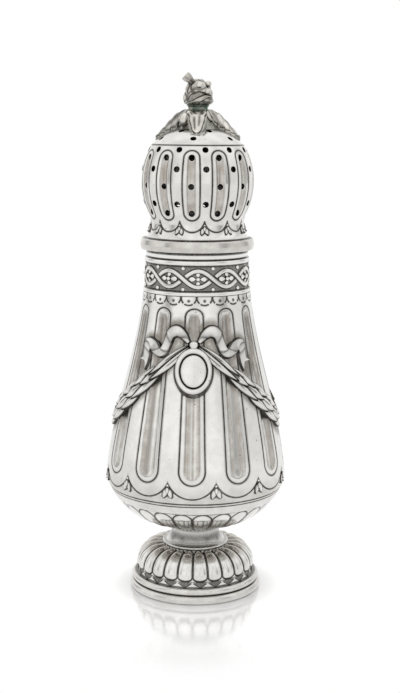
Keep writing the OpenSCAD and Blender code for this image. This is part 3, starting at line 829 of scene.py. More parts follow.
    @staticmethod
    def outward(mesh: Mesh) -> None:
        """Turns the faces of a closed mesh outwards."""
        with reworked(mesh) as work:
            bmesh.ops.recalc_face_normals(work, faces=work.faces)


@dataclass
class Motifs:
    """Small shapes that repeat, in millimetres, with unit length and width where they are scaled."""

    shop: Workshop

    def leaf(self, border: float, wide: float) -> Mesh:
        """Makes a pointed leaf from X -0.5 to 0.5 and Y -0.5 to 0.5, with a dark outline.

        Args:
            border: width of the dark sloping sides, as a share of half the leaf's width.
            wide: usual width of the leaf in millimetres, which its outline is drawn for.

        Returns:
            The mesh; its tip stands higher than its root.
        """
        t = np.linspace(0.0, 1.0, 11)[:, None]
        v = np.array((-1.0, -0.75, -0.4, 0.0, 0.4, 0.75, 1.0))[None, :]
        half = 0.5 * np.sin(np.pi * t**0.8) ** 0.75 + 0.004
        crown = (1.0 - 0.55 * v**2) * (0.5 + 0.5 * t)
        top = np.stack(np.broadcast_arrays(t - 0.5, v * half, crown), axis=-1)
        spread = v * (half + 0.5 * border)
        foot = np.stack(np.broadcast_arrays((t - 0.5) * (1.0 + 0.25 * border), spread, 0.0 * v), axis=-1)
        edge = (1.0 - np.abs(v)) * half * wide + 0.14
        return self.slab("leaf", top, foot, 0.0 * edge, edge)

    def slab(
        self,
        name: str,
        top: Array,
        foot: Array,
        dark: Array,
        edge: Array | None = None,
        under: float = 1.0,
    ) -> Mesh:
        """Makes a closed sheet from a grid of points and the grid under it.

        Args:
            name: name of the mesh.
            top: the upper grid of points.
            foot: the lower grid.
            dark: how dark each upper point is.
            edge: distance of each upper point from the nearest chased line, in millimetres.
            under: how dark the lower grid is, which paints shade on the sloping sides; at 1 it also counts as a chased
                line.

        Returns:
            The mesh, in the unit of the grids.
        """
        rows, columns = top.shape[:2]
        index = np.arange(rows * columns).reshape(rows, columns)
        upper = np.stack([index[:-1, :-1], index[1:, :-1], index[1:, 1:], index[:-1, 1:]], axis=-1).reshape(-1, 4)
        lower = upper[:, ::-1] + rows * columns
        loop = np.concatenate([index[0, :-1], index[:-1, -1], index[-1, :0:-1], index[:0:-1, 0]])
        after = np.roll(loop, -1)
        skirt = np.stack([loop, after, after + rows * columns, loop + rows * columns], axis=-1)
        faces = np.vstack([upper, lower, skirt])
        points = np.concatenate([top.reshape(-1, 3), foot.reshape(-1, 3)])
        ground = np.concatenate([dark.reshape(-1), np.full(rows * columns, under)])
        near = np.full(rows * columns, FAR_EDGE) if edge is None else edge.reshape(-1)
        below = np.full(rows * columns, 0.0 if under == 1.0 else FAR_EDGE)
        marks = Marks(ground=ground, edge=np.concatenate([near, below]))
        return self.shop.mesh(name, points, faces, marks)

    def bead(self, rings: int = 5, columns: int = 12) -> Mesh:
        """Makes half a ball of radius 1 with a dark foot.

        Args:
            rings: number of rings of points from foot to top.
            columns: number of points in each.

        Returns:
            The mesh.
        """
        angle = np.linspace(-0.35, np.pi / 2, rings)[:, None]
        turn = ring_turns(columns)[None, :]
        shape = (np.cos(angle) * np.cos(turn), np.cos(angle) * np.sin(turn), np.sin(angle))
        points = np.stack(np.broadcast_arrays(*shape), axis=-1)
        faces = Workshop.ring_faces(rings, columns, False).tolist()
        faces.append(list(range(columns))[::-1])
        # Painted shade round the foot, where the bead meets the surface.
        ground = np.broadcast_to(np.where(angle < 0.25, 0.8, 0.0), points.shape[:2])
        return self.shop.mesh("bead", points, faces, Marks(ground=ground))

    def drill(self, columns: int = 20) -> Mesh:
        """Makes a cylinder of radius 1 from Z -1 to 1.

        Args:
            columns: number of points round it.

        Returns:
            The mesh.
        """
        turn = ring_turns(columns)
        ring = np.stack([np.cos(turn), np.sin(turn), 0 * turn], axis=-1)
        points = np.concatenate([ring - [0, 0, 1], ring + [0, 0, 1]])
        faces = Workshop.ring_faces(2, columns, False).tolist()
        faces += [list(range(columns))[::-1], list(range(columns, 2 * columns))]
        # The walls of the holes that it cuts take this darkness: painted shade inside them.
        return self.shop.mesh("drill", points, faces, Marks(ground=1.0))

    def drops(
        self, name: str, surface: TurnedSurface, peaks: Array, rise: float, scale: float, carrier: Carrier
    ) -> None:
        """Builds bellflower drops of three leaves with a dot above.

        Args:
            name: name of the piece.
            surface: the surface that they lie on.
            peaks: their azimuths.
            rise: height of their middles.
            scale: their size, where 1 suits the wall.
            carrier: the body that they ride on.
        """
        leaf = self.leaf(0.36, 1.9 * scale)
        middle = float(surface.along(rise))
        down = -math.pi / 2
        parts = []
        leaves = (
            (-0.95, 0.35, 3.9, 2.1, -0.36, 0.0),
            (0.95, 0.35, 3.9, 2.1, 0.36, 0.0),
            (0.0, -0.75, 2.5, 1.5, 0.0, 0.2),
        )
        for aside, fall, length, width, lean, lift in leaves:
            shift = np.degrees(aside * scale / surface.radius(np.array(middle)))
            size = (length * scale, width * scale, 0.7)
            places = spots(peaks + shift, middle - fall * scale, size, lift - 0.03, down + lean)
            parts.append(self.shop.scatter(name, leaf, surface, places))
        bead = spots(peaks, middle + 2.6 * scale, (0.5 * scale, 0.5 * scale, 0.5), -0.1)
        parts.append(self.shop.scatter(name, self.bead(), surface, bead))
        self.shop.finish(self.shop.merged(name, parts), carrier, Slot.CHASED, ())


def spots(
    azimuth: Array,
    along: float | Array,
    size: tuple[float, float, float],
    lift: float = 0.0,
    turn: float | Array = 0.0,
) -> dict[str, Array]:
    """Places for motifs.

    Args:
        azimuth: degrees from the front, one for each place.
        along: places along the surface, one for all or one for each.
        size: length, width and height of the motif.
        lift: distance off the surface.
        turn: turn of the motif on the surface, in radians.

    Returns:
        The places as scatter takes them.
    """
    count = len(azimuth)
    return {
        "azimuth": np.asarray(azimuth, dtype=float),
        "along": np.broadcast_to(np.asarray(along, dtype=float), count),
        "lift": np.broadcast_to(np.asarray(lift, dtype=float), count),
        "turn": np.broadcast_to(np.asarray(turn, dtype=float), count),
        "size": np.broadcast_to(np.asarray(size, dtype=float), (count, 3)),
    }


@dataclass
class ChasedShell:
    """A turned sheet whose outside carries chased relief."""

    shop: Workshop
    surface: TurnedSurface
    rows: Array
    columns: int
    # inside: how dark the inner faces are, as painted shade inside the hollow shell
    inside: float = 0.6

    def __post_init__(self) -> None:
        """Lays out the grid of the outside."""
        self.azimuth = np.linspace(0.0, 360.0, self.columns, endpoint=False)[None, :]
        self.along = self.rows[:, None]
        self.out = self.surface.radius(self.along)
        self.up = self.surface.rise(self.along)

    def across(self, count: int, turn: float = 0.0) -> Array:
        """Returns: distance round the surface from the nearest of count even places."""
        return np.radians(fold(self.azimuth, count, turn)) * self.out

    def mesh(self, name: str, lift: Array, marks: Marks, inner: Array) -> Mesh:
        """Makes the closed shell.

        Args:
            name: name of the mesh.
            lift: height of the relief on the grid.
            marks: marks on the grid.
            inner: section of the rest, from the outside's upper end round to its lower end.

        Returns:
            The mesh.
        """
        shape = (len(self.rows), self.columns)
        outer = self.surface.place(np.broadcast_to(self.azimuth, shape), np.broadcast_to(self.along, shape), lift)
        rest = round_axis(inner[:, :1], np.radians(self.azimuth), inner[:, 1:])
        full = {}
        # The inner faces get the inside darkness as painted shade.
        inside = {"edge": FAR_EDGE, "tarnish": self.inside, "ground": self.inside, "green": 0.0}
        for key, value in vars(marks).items():
            grid = np.broadcast_to(np.asarray(value, dtype=float), shape)
            full[key] = np.concatenate([grid, np.full((len(inner), self.columns), inside[key])])
        points = np.concatenate([outer, rest])
        return self.shop.mesh(name, points, self.shop.ring_faces(len(points), self.columns, True), Marks(**full))

    def keep_places(self, mesh: Mesh) -> None:
        """Keeps azimuth, place along, radius and outward step of the outside's points on the mesh.

        Args:
            mesh: a mesh made by this shell, before its doubled points are joined.
        """
        shape = (len(self.rows), self.columns)
        azimuth, along, reach = (np.broadcast_to(value, shape) for value in (self.azimuth, self.along, self.out))
        push = self.surface.place(azimuth, along, 1.0) - self.surface.place(azimuth, along, 0.0)
        more = len(mesh.vertices) - azimuth.size
        for key, values, rest in (("azimuth", azimuth, 0.0), ("along", along, -9.0), ("reach", reach, 1.0)):
            keep(mesh, key, np.pad(values.reshape(-1), (0, more), constant_values=rest))
        keep(mesh, "push", np.pad(push.reshape(-1, 3), ((0, more), (0, 0))))


@dataclass(frozen=True)
class Laurel:
    """One leaf of a garland, by places along and beside the garland's middle line, in millimetres."""

    root: float
    tip: float
    root_aside: float
    tip_aside: float
    width: float
    tall: float = 1.35


@dataclass(frozen=True)
class OrnamentLines:
    """Where the cast ornament lies on the wall: lines to the right of the knot, mirrored for the left."""

    medallion_z: float = 91.0
    half_w: float = 6.95
    half_h: float = 8.9
    knot_z: float = 100.53
    wall_r: float = 24.3
    ribbon_path: tuple[tuple[float, float, float], ...] = (
        (4.5, 0.9, 0.55), (9.5, 3.7, 1.35), (15.2, 5.0, 1.85), (20.6, 3.6, 1.6), (23.4, 0.5, 1.35),
        (26.4, -2.3, 1.3), (30.6, -3.5, 1.4), (35.0, -2.6, 1.5), (38.6, -1.0, 1.85), (42.6, -0.7, 2.0),
        (45.8, -2.1, 1.6), (46.8, -4.7, 1.5), (48.8, -7.2, 1.9), (52.4, -8.9, 2.3),
    )
    garland_path: Pairs = ((2.2, 9.2), (14.0, -0.8), (28.0, -13.0), (46.5, -23.0))
    leaves: tuple[Laurel, ...] = (
        Laurel(45.0, 57.5, 1.2, 2.3, 3.3),
        Laurel(45.5, 58.0, -1.2, -2.3, 3.3),
        Laurel(45.0, 56.0, 0.1, 0.0, 3.3, 1.6),
        Laurel(34.5, 48.5, 1.0, 2.6, 3.6),
        Laurel(35.0, 51.0, -1.0, -2.6, 3.6),
        Laurel(34.5, 46.5, 0.2, 0.0, 3.5, 1.6),
        Laurel(23.5, 38.5, 0.9, 2.3, 3.3),
        Laurel(24.5, 41.5, -0.9, -2.3, 3.4),
        Laurel(24.0, 36.0, 0.1, 0.0, 3.2, 1.6),
        Laurel(12.0, 29.5, 0.6, 1.7, 2.8),
        Laurel(13.0, 33.0, -0.6, -1.8, 2.9),
        Laurel(13.5, 25.4, 0.0, 0.0, 2.7, 1.6),
        Laurel(-0.8, 19.5, 0.35, 0.75, 2.4),
        Laurel(-0.8, 20.5, -0.45, -0.85, 2.5),
    )

    def ribbon(self) -> tuple[Array, Array]:
        """Lays out a ribbon.

        Returns:
            Its middle line, as distance round the wall and height over the knot, and its half widths.
        """
        path = np.array(self.ribbon_path)
        flat = np.stack([np.radians(path[:, 0]) * self.wall_r, path[:, 1], 1.12 * path[:, 2]], axis=1)
        line = through(flat, 10)
        return line[:, :2], line[:, 2]

    def garland(self) -> Array:
        """Returns: the garland's middle line, as distance round the wall and height over the medallion."""
        return cubic(list(self.garland_path), 200)

    def halo(self, azimuth: Array, up: Array, out: Array) -> Array:
        """Darkening of the wall round the ornament: oxide in the ground between its pieces, and painted shade beside
        them.

        Args:
            azimuth: azimuths of the wall's columns, in degrees.
            up: heights of its rows.
            out: radii of its rows.

        Returns:
            The darkness on the grid, from 0 to 1.
        """
        across = np.abs(np.radians(fold(azimuth, 2)) * out)
        rise = up + 0 * across
        line, half = self.ribbon()
        near = np.full(across.shape, FAR_EDGE)
        for (x, y), w in zip(line[::2], half[::2]):
            near = np.minimum(near, np.hypot(across - x * out / self.wall_r, rise - self.knot_z - y) - w)
        laurel = self.garland()
        for number, (x, y) in enumerate(laurel[::4]):
            w = 0.6 + 2.6 * number / (len(laurel) / 4)
            near = np.minimum(near, np.hypot(across - x, rise - self.medallion_z - y) - w)
        return 0.95 * (1.0 - smooth(near, 0.8, 3.2))


@dataclass
class Foot:
    """Base ring, gadrooned dome and the polished spool on it."""

    shop: Workshop
    ring_r: float = 25.9
    ring_h: float = 3.2
    step_r: float = 25.1
    step_h: float = 2.8
    groove: float = 0.9
    inner_r: float = 20.9
    dome_r: float = 23.3
    dome_curve: float = 8.1
    bulge_z: float = 9.5
    wall: float = 1.2
    gadroons: int = 24
    flange_r: float = 13.0
    stem_z: float = 17.6
    bowl_z: float = 26.4
    waist_r: float = 9.4
    top_r: float = 10.4
    bore_r: float = 7.2

    def build(self) -> None:
        """Builds the three pieces."""
        self._rim()
        self._dome()
        self._spool()

    def _rim(self) -> None:
        """Builds the base ring with the stepped ring on it."""
        half, step = self.ring_h / 2, self.step_h / 2
        border = self.ring_h + self.step_h
        low = arc((self.ring_r - half, half), half, -90, 78, 18)
        high = arc((self.step_r - step, self.ring_h + step), step, -74, 90, 18)
        neck = self.step_r - self.groove
        groove = [[neck, self.ring_h], [neck, self.ring_h + 0.25]]
        section = np.vstack([[[self.inner_r, 0.0]], low, groove, high, [[self.inner_r, border]]])
        dark = np.zeros(len(section))
        dark[len(low) - 1 : len(low) + 5] = (0.3, 1.0, 1.0, 1.0, 1.0, 0.4)
        dark[-4:] = (0.2, 0.6, 0.9, 1.0)
        # Painted shadow: the bottom of the base ring is dark where it stands on the floor.
        dark[:6] = (1.0, 0.95, 0.9, 0.85, 0.65, 0.3)
        mesh = self.shop.turned("foot_ring", section, RING_COLUMNS, Marks(ground=dark, tarnish=0.46))
        self.shop.finish(mesh, Carrier.VASE, Slot.POLISHED, ("foot_rim",))

    def _dome(self) -> None:
        """Builds the gadroons and the leaf border under them."""
        axis = self.dome_r - self.dome_curve
        border = self.ring_h + self.step_h + 0.06
        skirt = np.array([[self.dome_r - 0.15, border], [self.dome_r - 0.15, border + 0.5]])
        bulge = arc((axis, self.bulge_z), self.dome_curve, -14, 90, 60)
        flat = np.array([[self.flange_r - 0.5, self.stem_z], [self.bore_r, self.stem_z]])
        surface = TurnedSurface(np.vstack([skirt, bulge, flat]))
        start, end = 1.7, float(surface.length[-2])
        rows = np.append(spans((0.0, start + 0.5, 14), (start + 0.5, end, 70)), surface.length[-1])
        shell = ChasedShell(self.shop, surface, rows, self.gadroons * 22)
        fade = smooth(shell.along, end - 0.7, end - 0.1)
        tips = np.abs(shell.across(self.gadroons))
        tip_edge = tips - np.clip(1.6 * (1.75 - shell.along), 0.0, None)
        lift = np.where(shell.along < start, -0.35 - 0.35 * smooth(tip_edge, 0.0, 0.3), 0.0)
        crust = 0.92 * (1.0 - smooth(shell.along, 1.7, 2.3)) * smooth(tip_edge, -0.1, 0.3)
        upper = smooth(shell.along, surface.length[-3] - 8.0, surface.length[-3] - 4.0)
        marks = Marks(
            edge=np.clip(tip_edge, -FAR_EDGE, FAR_EDGE),
            tarnish=0.66 * upper + 0.12,
            ground=np.maximum(crust, 0.6 * fade),
        )
        thin = self.dome_curve - self.wall
        under = arc((axis, self.bulge_z), thin, 90, -21, 24)
        inner = np.vstack([[[self.bore_r, self.stem_z - self.wall]], under, [[under[-1, 0], border]]])
        sheet = shell.mesh("dome_sheet", lift, marks, inner)
        shell.keep_places(sheet)
        values = {
            "Gadroons": float(self.gadroons),
            "First Turn": 180.0 / self.gadroons,
            "Depth": 0.85,
            "Start": start,
            "Round Foot": 2.4,
            "End": end,
        }
        mesh = GadroonRaiser().run("gadrooned_dome", sheet, values)
        for key in ("azimuth", "along", "reach", "push"):
            mesh.attributes.remove(mesh.attributes[key])
        self.shop.finish(mesh, Carrier.VASE, Slot.CHASED, ("foot_dome",))

    def _spool(self) -> None:
        """Builds the polished spool with its flange."""
        low, high = self.stem_z + 0.05, self.bowl_z - 0.05
        flange = arc((self.flange_r - 0.45, low + 0.45), 0.45, -90, 90, 12)
        foot = (self.flange_r - 1.2, low + 0.9)
        waist = (self.waist_r, low + 0.62 * (high - low))
        pull = 0.28 * (high - low)
        cove = cubic([foot, (foot[0] - 1.4, foot[1]), (waist[0], waist[1] - pull), waist], 20)
        neck = cubic([waist, (waist[0], waist[1] + pull / 2), (self.top_r - 0.3, high - 0.6), (self.top_r, high)], 10)
        section = np.vstack([[[self.bore_r, low]], flange, cove, neck[1:], [[self.bore_r, high]]])
        dark = np.zeros(len(section))
        # Painted shade under the flange and where it meets the cove, and a dark middle band as a painted reflection of
        # the dark dome below.
        dark[:3] = 0.9
        dark[len(flange) : len(flange) + 3] = 0.5
        middle = (section[:, 1] - low) / (high - low)
        dark = np.maximum(dark, 0.86 * hump(middle - 0.42, 0.26) * (section[:, 0] > self.bore_r + 0.1))
        mesh = self.shop.turned("polished_spool", section, 192, Marks(ground=dark, tarnish=0.2))
        self.shop.finish(mesh, Carrier.VASE, Slot.POLISHED, ("stem_collar",))


@dataclass
class Vase:
    """The lobed lower bowl and the fluted wall above it."""

    shop: Workshop
    motifs: Motifs
    lines: OrnamentLines
    bowl_z: float = 26.4
    flat_r: float = 10.6
    bowl_h: float = 15.0
    seam_r: float = 33.6
    seam_z: float = 41.4
    belly_r: float = 34.9
    belly_z: float = 46.5
    neck_r: float = 20.6
    neck_z: float = 118.0
    tube_r: float = 19.3
    mouth_z: float = 131.3
    wall: float = 1.2
    lobes: int = 24
    flutes: int = 12
    outline_deg: float = 8.15
    channel_deg: float = 5.0
    flute_low: float = 49.75
    flute_high: float = 113.6
    scallop_low: float = 44.5
    scallop_r: float = 10.1
    spread_deg: float = 3.0
    border_scallops: int = 22
    border_deg: float = 10.4
    border_z: float = 114.7
    surface: TurnedSurface = field(init=False)

    def __post_init__(self) -> None:
        """Works out the wall from the seam to the neck."""
        rise = self.belly_z - self.seam_z
        turn = cubic(
            [
                (self.seam_r, self.seam_z + 0.05),
                (self.seam_r + 0.6 * (self.belly_r - self.seam_r), self.seam_z + 0.25 * rise),
                (self.belly_r, self.seam_z + 0.5 * rise),
                (self.belly_r, self.belly_z),
            ],
            16,
        )
        side = cubic(
            [
                (self.belly_r, self.belly_z),
                (self.belly_r, self.belly_z + 17.6),
                (self.neck_r + 3.5, self.neck_z - 27.8),
                (self.neck_r, self.neck_z),
            ],
            120,
        )
        self.surface = TurnedSurface(np.vstack([turn, side[1:]]))

    def build(self) -> None:
        """Builds bowl and wall."""
        self._bowl()
        self._wall()

    def _bowl(self) -> None:
        """Builds the bowl with its round-topped lobes."""
        curve = ((self.seam_r - self.flat_r) ** 2 + self.bowl_h**2) / (2 * self.bowl_h)
        centre = (self.flat_r, self.bowl_z + curve)
        end = -math.degrees(math.asin((curve - self.bowl_h) / curve))
        outer = np.vstack([[[0.0, self.bowl_z]], arc(centre, curve, -90, end, 90)])
        surface = TurnedSurface(outer)
        total = surface.length[-1]
        rows = np.concatenate([[0.0, self.flat_r - 0.3], np.linspace(self.flat_r, total, 84)])
        shell = ChasedShell(self.shop, surface, rows, self.lobes * 28, 0.12)
        across = shell.across(self.lobes, 180.0 / self.lobes)
        half = np.radians(180.0 / self.lobes) * shell.out - 0.16
        top = total - 5.0
        start = surface.along(self.bowl_z + 1.2)
        end_half = float(np.radians(180.0 / self.lobes) * surface.radius(np.array(top - 3.8)) - 0.16)
        middle = top - end_half
        body = np.where(
            shell.along > middle, np.hypot(across, shell.along - middle) - end_half, np.abs(across) - half
        )
        lobe = np.maximum(body, start - shell.along)
        share = np.clip(-lobe / (0.8 * half), 0.0, 1.0)
        lift = -0.50 * (1.0 - share) ** 2 * smooth(shell.along, start - 1.0, start + 0.5)
        ledge = shell.along - (total - 0.15)
        lift = np.where(lobe > 0, -0.45 * smooth(shell.along, start - 1.0, start + 0.5), lift)
        lift = lift * (1.0 - smooth(shell.along, top, top + 0.9)) - 0.14 * hump(ledge, 0.22)
        dots = np.hypot(shell.across(6 * self.lobes, 1.25), shell.along - start - 7.7) + 0.1
        edge = join_edges(lobe, ledge, dots)
        marks = Marks(edge=edge, tarnish=0.24 * smooth(lobe, -0.6, 0.1))
        inner = np.vstack([arc(centre, curve - self.wall, end + 3.0, -90, 24), [[0.0, self.bowl_z + self.wall]]])
        mesh = shell.mesh("lobed_bowl", lift, marks, inner)
        self.shop.finish(mesh, Carrier.VASE, Slot.CHASED, ("lower_bowl",))

    def _wall(self) -> None:
        """Builds the fluted wall with its scallops and the small border under the neck."""
        surface = self.surface
        heights = spans(
            (self.seam_z + 0.05, 43.6, 8), (43.6, 52.5, 34), (52.5, 112.0, 54), (112.0, self.neck_z, 28)
        )
        shell = ChasedShell(self.shop, surface, surface.along(heights), self.flutes * 54, 0.12)
        spread = self.spread_deg * smooth(shell.up, 58.0, 112.0) * np.sin(2 * np.radians(shell.azimuth))
        across = np.radians(fold(shell.azimuth - spread, self.flutes)) * shell.out
        half = [surface.radius(surface.along(z)) for z in (self.flute_low, self.flute_high)]
        outline = flute_edge(
            across,
            shell.up,
            (self.flute_low, half[0] * math.radians(self.outline_deg)),
            (self.flute_high, half[1] * math.radians(self.outline_deg)),
        )
        inset = math.radians(self.outline_deg - self.channel_deg) * half[0]
        channel = flute_edge(
            across,
            shell.up,
            (self.flute_low + inset * 1.1, half[0] * math.radians(self.channel_deg)),
            (self.flute_high - inset * 1.1, half[1] * math.radians(self.channel_deg)),
        )
        hollow = np.clip(-channel / (np.radians(self.channel_deg) * shell.out), 0.0, 1.0)
        lift = -0.12 * smooth(-outline, 0.0, 0.8) - 0.26 * smooth(-channel, 0.0, 0.3)
        lift = lift - 0.42 * (1.0 - (1.0 - hollow) ** 2)
        drop = np.minimum(shell.up - (self.scallop_low + self.scallop_r), 0.0)
        scallop = self.scallop_r - np.hypot(across, drop)
        lift = lift - 0.14 * hump(scallop, 0.28) - 0.16 * hump(outline, 0.3)
        small = shell.across(self.border_scallops, self.border_deg)
        small_r = math.radians(180.0 / self.border_scallops) * self.neck_r
        fall = np.minimum(shell.up - (self.border_z + small_r), 0.0)
        border = np.hypot(small, fall * 1.05) - small_r * 0.97
        around = np.degrees(np.arctan2(np.abs(small), -fall + 1e-6))
        dashes = np.where(np.abs(around - 40.0) < 2.5, FAR_EDGE, border)
        punch = np.hypot(small, shell.up - (self.neck_z - 1.5)) - 0.5
        front = shell.across(2)
        below = shell.up - self.lines.medallion_z
        oval = np.hypot(front / (self.lines.half_w + 0.3), below / (self.lines.half_h + 0.3))
        round_oval = (oval - 1.0) * self.lines.half_w * 0.75
        seam = shell.up - (self.seam_z + 0.95)
        edge = join_edges(outline, scallop, round_oval, seam)
        edge = np.where(np.abs(border) < np.abs(edge), np.abs(dashes) * np.sign(edge), edge)
        edge = np.clip(edge, -FAR_EDGE, FAR_EDGE)
        number = np.round((shell.azimuth - spread) / (360.0 / self.flutes))
        beside = across / (np.radians(self.channel_deg) * shell.out)
        # Painted highlight: a bright streak down each flute's channel, where the tarnish is taken away, stands for a
        # reflection.
        highlight_at, highlight_width = 0.45 * np.sin(2.3 * number + 1.04), 0.22 + 0.15 * np.sin(1.9 * number - 0.3)
        highlight_streak = hump(beside - highlight_at, highlight_width)
        shine = 0.75 * highlight_streak * (1.0 - 0.6 * smooth(shell.up, 80.0, 105.0))
        fine = 0.10 * np.sin(17.0 * beside + 2.0 * number) + 0.08 * np.sin(31.0 * beside + number)
        depth = 0.86 + 0.14 * smooth(shell.up, 70.0, 105.0)
        brown = (depth - shine + fine) * smooth(-channel, -0.05, 0.2) + 0.05
        brown = brown + 0.40 * (1.0 - smooth(shell.up, 44.0, 50.0))
        halo = self.lines.halo(shell.azimuth, shell.up, shell.out)
        # Painted shadow: a dark band just under the medallion.
        medallion_shadow = 0.8 * np.exp(-((front / 2.6) ** 2) - ((below + self.lines.half_h + 0.9) / 0.8) ** 2)
        dots = 1.0 - smooth(punch, -0.05, 0.25)
        beside_peak = np.abs(shell.across(self.flutes, 180.0 / self.flutes))
        fan = beside_peak - np.interp(shell.up, [45.2, 49.0], [2.5, 0.3])
        fans = 0.85 * (1.0 - smooth(fan, -0.2, 0.3)) * smooth(shell.up, 44.6, 45.6) * (shell.up < 49.3)
        dots = np.maximum(dots, fans)
        # Painted shade: a dark fringe along the edges of each channel.
        rim = 0.42 * hump(channel, 0.26)
        smoke = 0.46 * smooth(shell.up, 86.0, 106.0) * smooth(-channel, 0.0, 0.6)
        smoke = smoke * (0.75 + 0.25 * np.sin(7.0 * beside + number))
        ground = np.maximum(np.maximum(dots, np.maximum(rim, smoke)), np.maximum(0.55 * halo, medallion_shadow))
        marks = Marks(edge=edge, tarnish=np.clip(brown + halo, 0, 1), ground=ground)
        inside = surface.section[::-8] - [self.wall, 0.0]
        inner = np.vstack(
            [
                [[self.tube_r, self.neck_z], [self.tube_r, self.mouth_z - 0.05]],
                [[self.tube_r - self.wall, self.mouth_z - 0.05], [self.tube_r - self.wall, self.neck_z]],
                inside[1:-1],
                [[self.seam_r - self.wall, self.seam_z + 0.05]],
            ]
        )
        mesh = shell.mesh("fluted_wall", lift, marks, inner)
        self.shop.finish(mesh, Carrier.VASE, Slot.CHASED, ("body_shell",))
        self._drops()

    def _drops(self) -> None:
        """Builds the bellflower drops between the scallops."""
        peaks = 360.0 / self.flutes * (0.5 + np.arange(self.flutes))
        self.motifs.drops("wall_drops", self.surface, peaks, 46.9, 1.0, Carrier.VASE)


@dataclass
class Neck:
    """Wires, interlaced frieze and mouth ring."""

    shop: Workshop
    motifs: Motifs
    tube_r: float = 19.3
    neck_r: float = 20.6
    neck_z: float = 118.0
    frieze_z: float = 119.6
    upper_z: float = 129.4
    mouth_z: float = 131.3
    mouth_top: float = 134.0
    frieze_r: float = 20.2
    lean: float = 0.3
    rosettes: int = 11
    first_deg: float = 3.6
    wave: float = 3.0
    band: float = 0.88

    def build(self) -> None:
        """Builds the four rings."""
        self._wire("lower_wire", self.neck_z, self.frieze_z - self.neck_z, self.neck_r + 0.2, "lower_neck_wire")
        self._wire("upper_wire", self.upper_z, self.mouth_z - self.upper_z, self.tube_r + 0.9, "upper_neck_wire")
        self._frieze()
        self._mouth()

    def _wire(self, name: str, low: float, tall: float, reach: float, node: str) -> None:
        """Builds a wire with a fine line near each edge.

        Args:
            name: name of the piece.
            low: height of its lower side.
            tall: its height.
            reach: its outer radius.
            node: the solid that it stands for.
        """
        low, tall = low + 0.05, tall - 0.05
        angle = np.radians(np.linspace(-90, 90, 25))
        swell = np.stack([reach - 0.6 + 0.6 * np.cos(angle), low + tall / 2 * (1 + np.sin(angle))], axis=1)
        section = np.vstack([[[self.tube_r + 0.05, low]], swell, [[self.tube_r + 0.05, low + tall]]])
        dark = np.clip((np.abs(section[:, 1] - low - tall / 2) / tall - 0.40) * 14.0, 0.0, 1.0)
        mesh = self.shop.turned(name, section, RING_COLUMNS, Marks(ground=dark, tarnish=0.1))
        self.shop.finish(mesh, Carrier.VASE, Slot.POLISHED, (node,))

    def _frieze(self) -> None:
        """Builds two interlaced bands round rosettes, with beads in the corners."""
        low, high = self.frieze_z + 0.05, self.upper_z
        surface = TurnedSurface(np.array([[self.frieze_r, low], [self.frieze_r - self.lean, high]]))
        rows = np.linspace(0.0, surface.length[-1], 46)
        shell = ChasedShell(self.shop, surface, rows, self.rosettes * 78)
        tall = float(surface.length[-1])
        phase = np.radians(shell.azimuth - self.first_deg) * self.rosettes / 2
        step = self.rosettes / 2 / shell.out
        slope = 1.0 / np.hypot(1.0, self.wave * step * np.sin(phase))
        level = shell.along - tall / 2
        first = np.abs(level - self.wave * np.cos(phase)) * slope - self.band
        second = np.abs(level + self.wave * np.cos(phase)) * slope - self.band
        falling = np.sin(phase) > 0
        over, under = np.where(falling, first, second), np.where(falling, second, first)
        under = np.maximum(under, 0.22 - over)
        bands = np.minimum(over, under)
        rail = tall / 2 - 0.25 - np.abs(level)
        raised = np.minimum(bands, rail)
        lift = -0.5 * smooth(raised, -0.12, 0.22) + 0.12 * smooth(-bands, 0.2, 0.6)
        dark = 0.88 * smooth(raised, 0.0, 0.25)
        marks = Marks(edge=np.clip(raised, -FAR_EDGE, FAR_EDGE), tarnish=0.1, ground=dark)
        inner = np.array([[self.tube_r + 0.05, high], [self.tube_r + 0.05, low]])
        parts = [shell.mesh("interlaced_frieze", lift, marks, inner)]
        step_deg = 360.0 / self.rosettes
        places = self.first_deg + step_deg * np.arange(self.rosettes)
        leaf, bead = self.motifs.leaf(0.16, 3.0), self.motifs.bead()
        for quarter in range(4):
            turn = quarter * math.pi / 2
            level_wise = abs(math.cos(turn)) > 0.5
            reach, size = (2.1, (2.7, 1.9, 0.75)) if level_wise else (1.55, (1.6, 1.7, 0.75))
            shift = np.degrees(reach * math.cos(turn) / self.frieze_r)
            petal = spots(places + shift, tall / 2 + reach * math.sin(turn), size, -0.5, turn + math.pi)
            parts.append(self.shop.scatter("petals", leaf, surface, petal))
        heart = spots(places, tall / 2, (0.82, 0.82, 0.9))
        parts.append(self.shop.scatter("hearts", bead, surface, heart))
        for level_at in (1.0, tall - 1.0):
            corner = spots(places + step_deg / 2, level_at, (0.85, 0.85, 0.75), -0.5)
            parts.append(self.shop.scatter("corner_beads", bead, surface, corner))
        self.shop.finish(self.shop.merged("interlaced_frieze", parts), Carrier.VASE, Slot.FRIEZE, ("neck_frieze",))

    def _mouth(self) -> None:
        """Builds the mouth ring with a chased groove round its foot."""
        bore, reach, soft = 17.7, 19.5, 0.4
        low, top = self.mouth_z, self.mouth_top
        outer = [(reach - 0.5, low), (reach - 0.45, low + 0.35), (reach - 0.1, low + 0.5), (reach, low + 0.75)]
        outer += [(reach, top - 1.0), (reach, top - 0.8), (reach, top - soft)]
        outer += [(reach - 0.12, top - 0.12), (reach - soft, top)]
        section = np.array([(bore, low), *outer, (bore + 0.2, top), (bore, top - 0.2)])
        # The dark foot is the chased groove; the dark top is a painted shadow under the cap's rim.
        dark = np.array([1.0, 1.0, 1.0, 0.3, 0.0, 0.0, 1.0, 1.0, 1.0, 1.0, 1.0, 0.5])
        mesh = self.shop.turned("mouth", section, RING_COLUMNS, Marks(ground=dark))
        self.shop.finish(mesh, Carrier.VASE, Slot.POLISHED, ("mouth_ring",))


